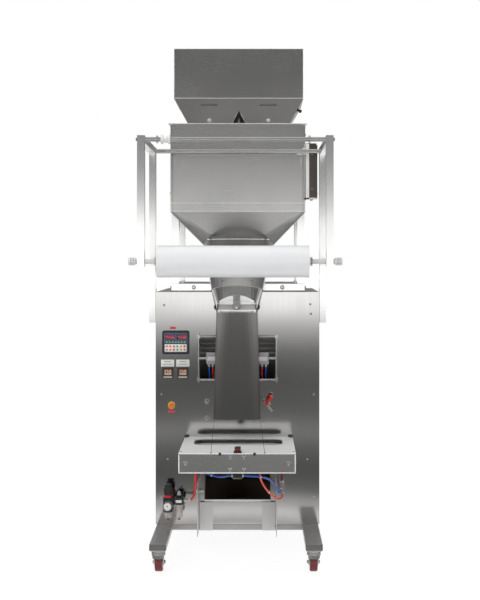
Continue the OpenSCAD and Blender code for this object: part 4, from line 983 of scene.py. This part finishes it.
def arched(side, top):
    """An edge across the window that rises from its height at the sides to its height in the middle."""
    return lambda x: side + (top - side) * max(0.0, 1 - (x / WINDOW_HALF) ** 2)


def chute_depth(x, z):
    """How far in front of the panel the lower chute's face lies, in millimetres, bridged over its window."""
    below, above = (front_of("feed_chute", x, level)[0].y for level in (FACE_BELOW, FACE_ABOVE))
    return depth(below + (above - below) * (z - FACE_BELOW) / (FACE_ABOVE - FACE_BELOW))


def strap_depth(x, z):
    """The strap's depth: bridged over the window, and on the chute's face above it."""
    if z < STRAP_ON_FACE:
        return max(chute_depth(x, z), 0)
    return depth(front_of("feed_chute", x, z)[0].y)


def add_lens_strip(mesh, low, high, recess, columns=28):
    """A curved strip between two edges of the window, at a recess behind the chute's face."""
    rings = []
    for k in range(columns + 1):
        x = -WINDOW_HALF + 2 * WINDOW_HALF * k / columns
        rings.append([mesh.verts.new(at(x, chute_depth(x, z) - r, z))
                      for r, z in ((recess, low(x)), (recess, high(x)), (recess + 1.5, high(x)),
                                   (recess + 1.5, low(x)))])
    skin(mesh, rings)


class PACKAGING_OT_chute_details(bpy.types.Operator):
    """Adds the chute's window liner, seam, strap, screws and latches, and the collar's beads"""

    bl_idname = "packaging.chute_details"
    bl_label = "Chute details"

    def execute(self, context):
        bright = steel("polished_steel", (228, 226, 222), ALONG_X, 0.16, wear=0.1)
        slot_low, slot_high = (flat(z) for z in WINDOW_SLOT)
        top = arched(1103.5, 1121.7)
        assemble("window_liner", steel("liner_white", (250, 250, 249), ALONG_X, 0.3, metallic=0.1, wear=0.1),
                 add_lens_strip,
                 [(flat(1072.3), slot_low, LINER_RECESS), (slot_high, top, LINER_RECESS),
                  (lambda x: top(x) + 0.3, arched(1109.0, 1141.0), -0.8)])
        assemble("window_back", steel("liner_shadow", (186, 185, 183), ALONG_X, 0.4, metallic=0.1),
                 add_lens_strip, [(slot_low, slot_high, BACK_RECESS)])
        self.seams(bright)
        self.strap()
        return {"FINISHED"}

    def seams(self, bright):
        """The welded seam round the chute's mitre, and the two beads of the outlet collar."""
        centre, turn = at(*SEAM["middle"]), Matrix.Rotation(math.radians(SEAM["tilt"]), 3, "X")
        wide, deep = SEAM["half"]
        ring = [centre + turn @ Vector((wide * math.cos(a), deep * math.sin(a), 0))
                for a in (2 * math.pi * k / 72 for k in range(73))]
        assemble("chute_seam", FINISHES["chute_steel"], add_path_tube, [(ring, 2.6, 8)])
        low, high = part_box("outlet_collar")
        inner = (high.x - low.x) * 500 - 0.4
        beads = []
        for z, grow in ((low.z * 1000 + 1.5, 2.0), (high.z * 1000 - 17, 1.6)):
            beads.append((Vector((0, (low.y + high.y) / 2, z / 1000)), UP,
                          [(inner, 0), (inner + grow, 0.8), (inner + grow, 3.4), (inner, 4.2)], 96))
        assemble("collar_beads", bright, add_turned, beads)

    def strap(self):
        """The strap over the window, its screws and the chute's, and the black latches at the sides."""
        mesh = bmesh.new()
        rings = []
        for z in range(1084, 1145, 6):
            row = [(x, strap_depth(x, z)) for x in (-15, -5, 5, 15)]
            rings.append([mesh.verts.new(at(x, u + 2.0, z)) for x, u in row]
                         + [mesh.verts.new(at(x, u + 0.2, z)) for x, u in reversed(row)])
        skin(mesh, rings)
        piece("chute_strap", mesh, FINISHES["chute_steel"])
        mesh = bmesh.new()
        for place, normal in ((at(0, chute_depth(0, 1089), 1089), Vector(TOWARD)), front_of("feed_chute", 0, 1140)):
            socket_head(mesh, place + normal * 0.0018, normal, 11, 5)
        for x in (-60, 61):
            hex_head(mesh, *front_of("feed_chute", x, 1206, -0.4), 12, 6)
        piece("chute_screws", mesh, FINISHES["bolt_steel"])
        assemble("chute_latches", FINISHES["case_black"], add_block,
                 [row for side in (-1, 1) for row in (
                     (sorted((side * 87.2, side * 95)), (112, 132), (1078, 1100), 1.2),
                     (sorted((side * 94, side * 98)), (118, 126), (1083, 1095), 1.0))])


# The depths of the pale strips round the sealing unit's front, a painted highlight on its edges, and their outer edges
# across
BORDER_U = (370.8, 371.6)
BORDER_X = (-229.6, 241.6)


class PACKAGING_OT_sealing_details(bpy.types.Operator):
    """Adds the sealing unit's bolts, clips, lip in painted shade, pale edge strips of painted highlight, guide wires,
    sensor lenses, couplings, ties and stud
    """

    bl_idname = "packaging.sealing_details"
    bl_label = "Sealing unit details"

    def execute(self, context):
        bolt, black = FINISHES["bolt_steel"], FINISHES["case_black"]
        front = depth(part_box("sealing_housing")[0].y)
        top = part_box("housing_cover")[1].z * 1000
        mesh = bmesh.new()
        for x, z in ((-202, 474), (213, 474), (-22, 500), (34, 500), (-22, 448), (34, 448)):
            add_turned(mesh, at(x, front - 2, z), TOWARD, [(9, 0), (9, 1.2), (8.4, 1.6), (0, 1.6)], 28)
            dome_head(mesh, at(x, front - 0.6, z), TOWARD, 11, 4)
        piece("sealing_bolts", mesh, bolt)
        clips = [((x - 10, x + 10), (8, 20), (top, top + 5), 1.5) for x in (-223, 233)]
        for x in (-63, 76):
            clips += [((x - 5, x + 5), (front - 8, front - 0.5), (top, top + 2.5), 0.8),
                      ((x - 5, x + 5), (front, front + 1.8), (top - 8, top + 2.5), 0.6)]
        assemble("cover_clips", black, add_block, clips)
        assemble("cover_screws", bolt, socket_head,
                 [(at(x, u, top), UP, 8, 3) for x in (-222, 234) for u in (40, 335)])
        self.sensor()
        self.couplings()
        self.stud()
        # The folded lip under the edge of the cover's slot, its dark colour painted shade inside the slot, and the dark
        # joint between the cover and the front
        ring = [at(6 + a, 122 + b, top - 7) for a, b in rounded(370, 144, 37, 8)]
        assemble("slot_lip", steel("lip_painted_shade", (96, 95, 93), ALONG_X, 0.35), add_path_tube,
                 [(ring + ring[:1], 5, 8)])
        assemble("cover_joint", black, add_block,
                 [((-229.5, 241.5), (370.9, 371.4), (top - 5.2, top - 3.6), 0.2)])
        self.wires(front, top)
        # Pale strips up the sides and along the lower edge of the unit's front face: the side plates' end faces and the
        # face's edge, their pale colour a painted highlight
        left, right = BORDER_X
        assemble("front_edges_and_highlight", FINISHES["cover_steel"], add_block,
                 [((left, left + 4.4), BORDER_U, (436, 508), 0.3), ((right - 4.4, right), BORDER_U, (436, 508), 0.3),
                  (BORDER_X, BORDER_U, (434.2, 438.2), 0.3)])
        return {"FINISHED"}

    def wires(self, front, top):
        """Two thin guide wires from the forming tube's lower corners to the front edge of the cover."""
        mesh = bmesh.new()
        for x, end_x in ((-97, -99), (98, 117)):
            add_rod(mesh, at(x, 122, 616), at(end_x, front - 6, top + 1.2), 1.6, 6)
            add_turned(mesh, at(end_x, front - 6, top), UP, [(3.5, 0), (3.5, 1.6), (2.6, 2.6), (0, 2.8)], 16)
            add_block(mesh, (x - 3, x + 3), (119, 125), (613.3, 620), 0.6)
        piece("guide_wires", mesh, plastic("wire_dark", (52, 50, 50), 0.4))

    def sensor(self):
        """The two lenses on the bag sensor's front."""
        low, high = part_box("bag_sensor")
        x, z = (low.x + high.x) * 500, high.z * 1000
        assemble("sensor_lenses", plastic("lens_red", (150, 40, 30), 0.12, coat=0.6), add_turned,
                 [(at(x + dx, depth(low.y) - 4.5, z - 8), TOWARD, [(4.2, 0), (4.2, 1.6), (3.6, 2.2), (0, 2.5)], 24)
                  for dx in (-5.5, 5.5)])

    def couplings(self):
        """The push-in collar at each end of every hose, the ties, and the cover of the tee behind the unit."""
        collars = []
        for _, diameter, route in HOSES.values():
            points = smooth_route(route)
            r = diameter / 2
            profile = [(r + 2.4, 0), (r + 2.4, 3), (r + 1.6, 3.8), (r + 1.6, 7), (r + 0.15, 7.6)]
            for end, after in ((points[0], points[2]), (points[-1], points[-3])):
                collars.append((end, (after - end).normalized(), profile, 24))
        assemble("push_in_collars", plastic("coupling_pale", (206, 208, 210), 0.35), add_turned, collars)
        ties = []
        for name, share in (("blue_hose_left", 0.5), ("blue_hose_right", 0.36), ("orange_hose", 0.5)):
            _, diameter, route = HOSES[name]
            points = smooth_route(route)
            k = int(share * (len(points) - 2))
            along = (points[k + 1] - points[k]).normalized()
            r = diameter / 2
            ties.append((points[k] - along * 0.002, along,
                         [(r + 0.05, 0), (r + 1.3, 0.5), (r + 1.3, 3.5), (r + 0.05, 4)], 20))
        assemble("hose_ties", plastic("tie_white", (228, 228, 226), 0.4), add_turned, ties)
        assemble("tee_cover", FINISHES["case_black"], add_block,
                 [((-13, 25), (265, 295), (398, 430), 2.0), ((-3, 15), (262, 268), (404, 424), 1.5)])

    def stud(self):
        """The threaded stud with two nuts beside the air unit."""
        rows = [(at(-186, 18, 278), RIGHT, [(3.4, 0), (4, 0.8), (4, 38.5), (3.4, 39.4)], 24)]
        rows += [(at(x, 18, 278), RIGHT, [(6.8, 0), (7.5, 0.7), (7.5, 5.3), (6.8, 6)], 6) for x in (-181, -167.5)]
        assemble("side_stud", FINISHES["bolt_steel"], add_turned, rows)


def round_dial(degrees):
    """The directions out from and across a dial's middle at an angle, seen from the front."""
    a = math.radians(degrees)
    return Vector((math.cos(a), 0, math.sin(a))), Vector((-math.sin(a), 0, math.cos(a)))


# The gauge's reading in degrees, the depth of the air unit's middle, and the height of its bowls' bottoms
NEEDLE_ANGLE = 118
AIR_UNIT_U = 60
BOWL_BOTTOM = 171.4


class PACKAGING_OT_air_unit(bpy.types.Operator):
    """Adds the gauge's dial and needle, the regulator's ring and ribs, the bowls' rims and the oiler's cap"""

    bl_idname = "packaging.air_unit"
    bl_label = "Air unit details"

    def execute(self, context):
        x, z = face_middle("pressure_gauge")
        face = depth(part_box("pressure_gauge")[0].y) - 2
        assemble("gauge_dial", plastic("dial_white", (240, 240, 236), 0.35, wear=0, dust=0), add_turned,
                 [(at(x, face, z), TOWARD, [(17.3, -0.1), (17.3, 0.5), (17.0, 0.7), (0, 0.7)], 48)])
        mesh = bmesh.new()
        for k in range(11):
            out, side = round_dial(225 - 27 * k)
            middle = at(x, face + 0.7, z) + out * 0.0145
            long, half = 0.0022 if k % 5 == 0 else 0.0013, 0.0004
            add_outline(mesh, [middle + out * long + side * half, middle + out * long - side * half,
                               middle - out * long - side * half, middle - out * long + side * half], 0.15, TOWARD)
        out, side = round_dial(NEEDLE_ANGLE)
        hub = at(x, face + 1.1, z)
        needle = [hub + out * 0.0125, hub + side * 0.0011, hub - out * 0.004, hub - side * 0.0011]
        add_outline(mesh, needle, 0.3, TOWARD)
        add_turned(mesh, at(x, face + 0.6, z), TOWARD, [(2.2, 0), (2.2, 1.1), (1.6, 1.5), (0, 1.5)], 20)
        piece("gauge_marks", mesh, plastic("mark_black", (24, 24, 26), 0.4, wear=0, dust=0))
        assemble("gauge_bezel", plastic("bezel_black", (22, 22, 24), 0.3, coat=0.3), add_turned,
                 [(at(x, face, z), TOWARD, [(17.4, 0), (17.4, 2), (18.6, 2.8), (19.8, 2), (20.3, 0), (20.3, -12),
                                            (19.8, -12.6)], 48)])
        self.regulator()
        self.bowls()
        return {"FINISHED"}

    def regulator(self):
        """The red ring under the regulator's knob and the ribs round the knob."""
        low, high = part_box("regulator_knob")
        x, y = (low.x + high.x) / 2, (low.y + high.y) / 2
        assemble("regulator_ring", plastic("ring_red", (206, 30, 26), 0.3, coat=0.3), add_turned,
                 [(Vector((x, y, 0.2624)), UP, [(18.2, 0), (19.6, 0.8), (19.6, 9.4), (18.2, 10.2)], 40)])
        ribs = []
        for k in range(24):
            a = 2 * math.pi * k / 24
            out, side = Vector((math.cos(a), math.sin(a), 0)), Vector((-math.sin(a), math.cos(a), 0))
            base = Vector((x, y, high.z - 0.044)) + out * 0.0179
            ribs.append(([base + side * 0.0010, base - side * 0.0010, base - side * 0.0006 + out * 0.0011,
                          base + side * 0.0006 + out * 0.0011], 26, UP))
        assemble("knob_ribs", FINISHES["case_black"], add_outline, ribs, "regulator_knob")

    def bowls(self):
        """The bowls' black rims and drains, and the oiler's label and clear cap."""
        rims = []
        for x, top in ((-299, 205), (-252, 238)):
            rims += [(at(x, AIR_UNIT_U, top), DOWN, [(17.2, -1), (19.2, 0), (19.2, 5), (17.6, 6)], 40),
                     (at(x, AIR_UNIT_U, BOWL_BOTTOM), DOWN,
                      [(6.5, -0.5), (6.5, 1.2), (4.5, 2), (4.5, 6.4), (2.5, 7), (0, 7)], 24)]
        assemble("bowl_rims", FINISHES["case_black"], add_turned, rims)
        plates("oiler_label", FINISHES["label_white"], [(-252, 248, 26, 12, 1.5, 80, 80.7)])
        assemble("oiler_cap", plastic("sight_clear", (170, 176, 180), 0.15, coat=0.5), add_turned,
                 [(at(-252, AIR_UNIT_U, 272), UP, [(9.5, -0.3), (9.5, 4), (7, 6), (7, 12), (5, 15), (0, 16)], 28)])


def corners_of(low, high, z, grow=0.0):
    """The four corners round a box at one height, moved out by grow metres."""
    return [Vector((x, y, z)) for x, y in ((low.x - grow, low.y - grow), (high.x + grow, low.y - grow),
                                           (high.x + grow, high.y + grow), (low.x - grow, high.y + grow))]


# Where the hopper's walls rise from its slope, and two heights that give the slope's own plane
HOPPER_FOLD_Z = 2.043
SLOPE_HEIGHTS = (1945, 2000)


class PACKAGING_OT_weigher_details(bpy.types.Operator):
    """Adds the weigher's screws, seams, clips and box fittings, the hopper's bolts and folds, the stand's bolts"""

    bl_idname = "packaging.weigher_details"
    bl_label = "Weigher and hopper details"

    def execute(self, context):
        bolt = FINISHES["bolt_steel"]
        assemble("lock_bolts", FINISHES["cover_steel"], hex_head,
                 [(*front_of("supply_hopper", x, 1947, -0.3), 13, 7) for x in (-139, 139)])
        low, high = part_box("weigher_lid")
        body_low, body_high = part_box("weigher_body")
        assemble("lid_screws", bolt, dome_head,
                 [(Vector((x, y, body_high.z + 0.004)), UP, 10, 3.4) for x in (-0.285, -0.095, 0.095, 0.285)
                  for y in (low.y + 0.02, high.y - 0.02)])
        mesh = bmesh.new()
        for side in (-1, 1):
            for z in (1.850, 1.590):
                place = Vector((side * (body_high.x - 0.0002), body_low.y + 0.045, z))
                add_turned(mesh, place, (side, 0, 0), [(7, 0), (7, 1.2), (6.2, 1.8), (0, 1.8)], 24)
                dome_head(mesh, place + Vector((side * 0.0016, 0, 0)), (side, 0, 0), 9, 3.6)
        piece("body_screws", mesh, bolt)
        self.seams(body_low, body_high)
        self.folds()
        self.clips()
        self.box_details()
        # The bolts of the stand's rails, at its sides and in front
        bolts = [(at(side * 300.3, u, 1166.5), (side, 0, 0), 13, 6) for side in (-1, 1) for u in (-130, -500)]
        bolts += [(at(x, -112.7, 1166.5), TOWARD, 13, 6) for x in (-200, 200)]
        assemble("stand_bolts", bolt, hex_head, bolts)
        return {"FINISHED"}

    def seams(self, low, high):
        """The bright folded edges round the weigher's body and lid."""
        mesh = bmesh.new()
        for z in (1.5428, 1.5062):
            outline = [Vector(((low.x + high.x) / 2 + a / 1000, (low.y + high.y) / 2 + b / 1000, z))
                       for a, b in rounded(602.6, 500.6, 25, 6)]
            add_path_tube(mesh, outline + outline[:1], 1.8, 8)
        add_rods_round(mesh, corners_of(*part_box("weigher_lid"), high.z + 0.0032), 2.2)
        piece("body_seam", mesh, FINISHES["cover_steel"])

    def folds(self):
        """The bright folded edges of the supply hopper, round its slope and its rim, and its knob."""
        low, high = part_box("supply_hopper")
        mesh = bmesh.new()
        for z, grow in ((HOPPER_FOLD_Z - 0.001, 0.0006), (high.z - 0.0012, -0.0002)):
            add_rods_round(mesh, corners_of(low, high, z, grow), 2.2)
        for x in (low.x, high.x):
            for y in (low.y, high.y):
                add_rod(mesh, Vector((x, y, HOPPER_FOLD_Z)), Vector((x, y, high.z)), 2.0)
        piece("hopper_folds", mesh, FINISHES["cover_steel"])
        self.notch()
        assemble("slope_knob", FINISHES["case_black"], add_turned,
                 [(Vector((0.2746, low.y + 0.045, 1.996)), (0.877, 0, -0.481),
                   [(9, -0.6), (9, 3), (5, 4.5), (5, 12), (8, 13.5), (8, 20), (6, 22), (0, 22.4)], 28)])

    def notch(self):
        """The dark brace of the notch between the hopper's two outlets, and the light liner inside it."""
        low, high = (front_of("supply_hopper", 60, z)[0] for z in SLOPE_HEIGHTS)

        def on_slope(x, z, forward):
            share = (z / 1000 - low.z) / (high.z - low.z)
            return Vector((x / 1000, low.y + (high.y - low.y) * share - forward, z / 1000))

        braces = [[on_slope(x, z, 0.0012) for x, z in ((0, 1989), (0, 1960), (side * 14, 1912), (side * 43, 1912))]
                  for side in (-1, 1)]
        assemble("notch_brace", FINISHES["case_black"], add_outline,
                 [(brace, 2, (0, 1, 0)) for brace in braces])
        liner = [on_slope(x, z, -0.002) for x, z in ((-16, 1912), (0, 1968), (16, 1912))]
        assemble("notch_liner", FINISHES["inner_steel"], add_outline, [(liner, 1.5, (0, 1, 0))])

    def clips(self):
        """The white film stop on the front roller and the clip on the weigher's front corner."""
        white = plastic("stop_white", (226, 226, 224), 0.4)
        low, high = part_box("front_roller")
        assemble("film_stop", white, add_turned,
                 [(Vector((-0.296, (low.y + high.y) / 2, (low.z + high.z) / 2)), RIGHT,
                   [(10, 0), (18, 0), (19, 1), (19, 8), (13, 9.5), (13, 27), (19, 28.5), (19, 36), (18, 37), (10, 37)],
                   36)], "front_roller")
        front = depth(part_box("weigher_body")[0].y)
        assemble("corner_clip", white, add_block,
                 [(x, (front - 0.4, front + 3), z, 1.0) for x, z in (((262, 292), (1756, 1764)),
                                                                     ((288, 300), (1756, 1788)))])

    def box_details(self):
        """The side box's screws, hinge strip and cable gland."""
        low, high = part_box("weigher_box")
        x, y = high.x - 0.025, (low.y + high.y) / 2
        screws = [(Vector((high.x - 0.0002, y + dy, z)), RIGHT, 7, 2.4) for dy in (-0.035, 0.035)
                  for z in (low.z + 0.03, high.z - 0.03)]
        screws += [(Vector((x, low.y + 0.0002, z)), TOWARD, 8, 2.6) for z in (low.z + 0.05, high.z - 0.05)]
        assemble("box_screws", FINISHES["bolt_steel"], dome_head, screws)
        mesh = bmesh.new()
        for x0, x1, z0, z1 in ((low.x + 0.001, low.x + 0.017, low.z + 0.003, high.z - 0.003),
                               (low.x + 0.001, high.x - 0.001, low.z + 0.003, low.z + 0.010)):
            bmesh.ops.create_cube(mesh, size=1.0, matrix=Matrix.Translation(
                ((x0 + x1) / 2, low.y - 0.0004, (z0 + z1) / 2)) @ Matrix.Diagonal((x1 - x0, 0.0012, z1 - z0, 1)))
        piece("box_hinge_strip", mesh, FINISHES["cover_steel"])
        assemble("cable_gland", FINISHES["case_black"], add_turned,
                 [(Vector((x, y, low.z + 0.0115)), DOWN,
                   [(9, -0.5), (9, 4), (7.5, 5), (7.5, 9), (4, 10.5), (0, 10.5)], 24)])


class PACKAGING_OT_reel_details(bpy.types.Operator):
    """Adds the reel's card core, the rings on its shaft and knobs, and the rollers' nuts"""

    bl_idname = "packaging.reel_details"
    bl_label = "Film reel details"

    def execute(self, context):
        low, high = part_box("film_reel")
        y, z = (low.y + high.y) / 2, (low.z + high.z) / 2
        assemble("reel_core", plastic("core_card", (150, 122, 92), 0.75, clouds=0.4), add_turned,
                 [(Vector((x - side * 0.0003, y, z)), (side, 0, 0),
                   [(21, 0), (44, 0), (44, 0.9), (43.2, 1.3), (21, 1.3)], 48) for side, x in ends("film_reel")], "reel")
        rings = [(Vector((x, y, z)), RIGHT, [(16.1, 0), (17, 0.8), (17, 5.2), (16.1, 6)], 36)
                 for x in (-0.320, 0.300)]
        rings += [(Vector((x - side * (step + 2) / 1000, y, z)), (side, 0, 0),
                   [(14.8, 0), (15.6, 0.5), (15.6, 1.7), (14.8, 2.2)], 36)
                  for side, x in ends("reel_shaft") for step in (8, 14, 20)]
        assemble("shaft_rings", FINISHES["bolt_steel"], add_turned, rings, "reel")
        assemble("roller_nuts", FINISHES["bolt_steel"], hex_head,
                 [(at(side * 389.7, u, 1770), (side, 0, 0), 13, 6) for side in (-1, 1) for u in (400, -15)])
        return {"FINISHED"}


class PACKAGING_PT_panel(bpy.types.Panel):
    bl_label = "Packaging machine"
    bl_idname = "PACKAGING_PT_panel"
    bl_space_type = "VIEW_3D"
    bl_region_type = "UI"
    bl_category = "Packaging"

    def draw(self, context):
        for operator in OPERATORS:
            self.layout.operator(operator.bl_idname)
        for group in (context.scene.packaging_finish, context.scene.packaging_sizes):
            box = self.layout.box()
            for name in group.__annotations__:
                box.prop(group, name)


OPERATORS = (
    PACKAGING_OT_stage,
    PACKAGING_OT_hoses,
    PACKAGING_OT_metalwork,
    PACKAGING_OT_fittings,
    PACKAGING_OT_casters,
    PACKAGING_OT_fasteners,
    PACKAGING_OT_controls,
    PACKAGING_OT_chute_details,
    PACKAGING_OT_sealing_details,
    PACKAGING_OT_air_unit,
    PACKAGING_OT_weigher_details,
    PACKAGING_OT_reel_details,
)
CLASSES = (PackagingFinishSettings, PackagingSizeSettings, PACKAGING_PT_panel, *OPERATORS)


def register():
    for cls in CLASSES:
        bpy.utils.register_class(cls)
    bpy.types.Scene.packaging_finish = bpy.props.PointerProperty(type=PackagingFinishSettings)
    bpy.types.Scene.packaging_sizes = bpy.props.PointerProperty(type=PackagingSizeSettings)


def unregister():
    del bpy.types.Scene.packaging_finish
    del bpy.types.Scene.packaging_sizes
    for cls in reversed(CLASSES):
        bpy.utils.unregister_class(cls)


def main():
    """Builds the dressed machine."""
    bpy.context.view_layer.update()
    register()
    for operator in OPERATORS:
        family, name = operator.bl_idname.split(".")
        getattr(getattr(bpy.ops, family), name)()


if __name__ == "__main__":
    main()
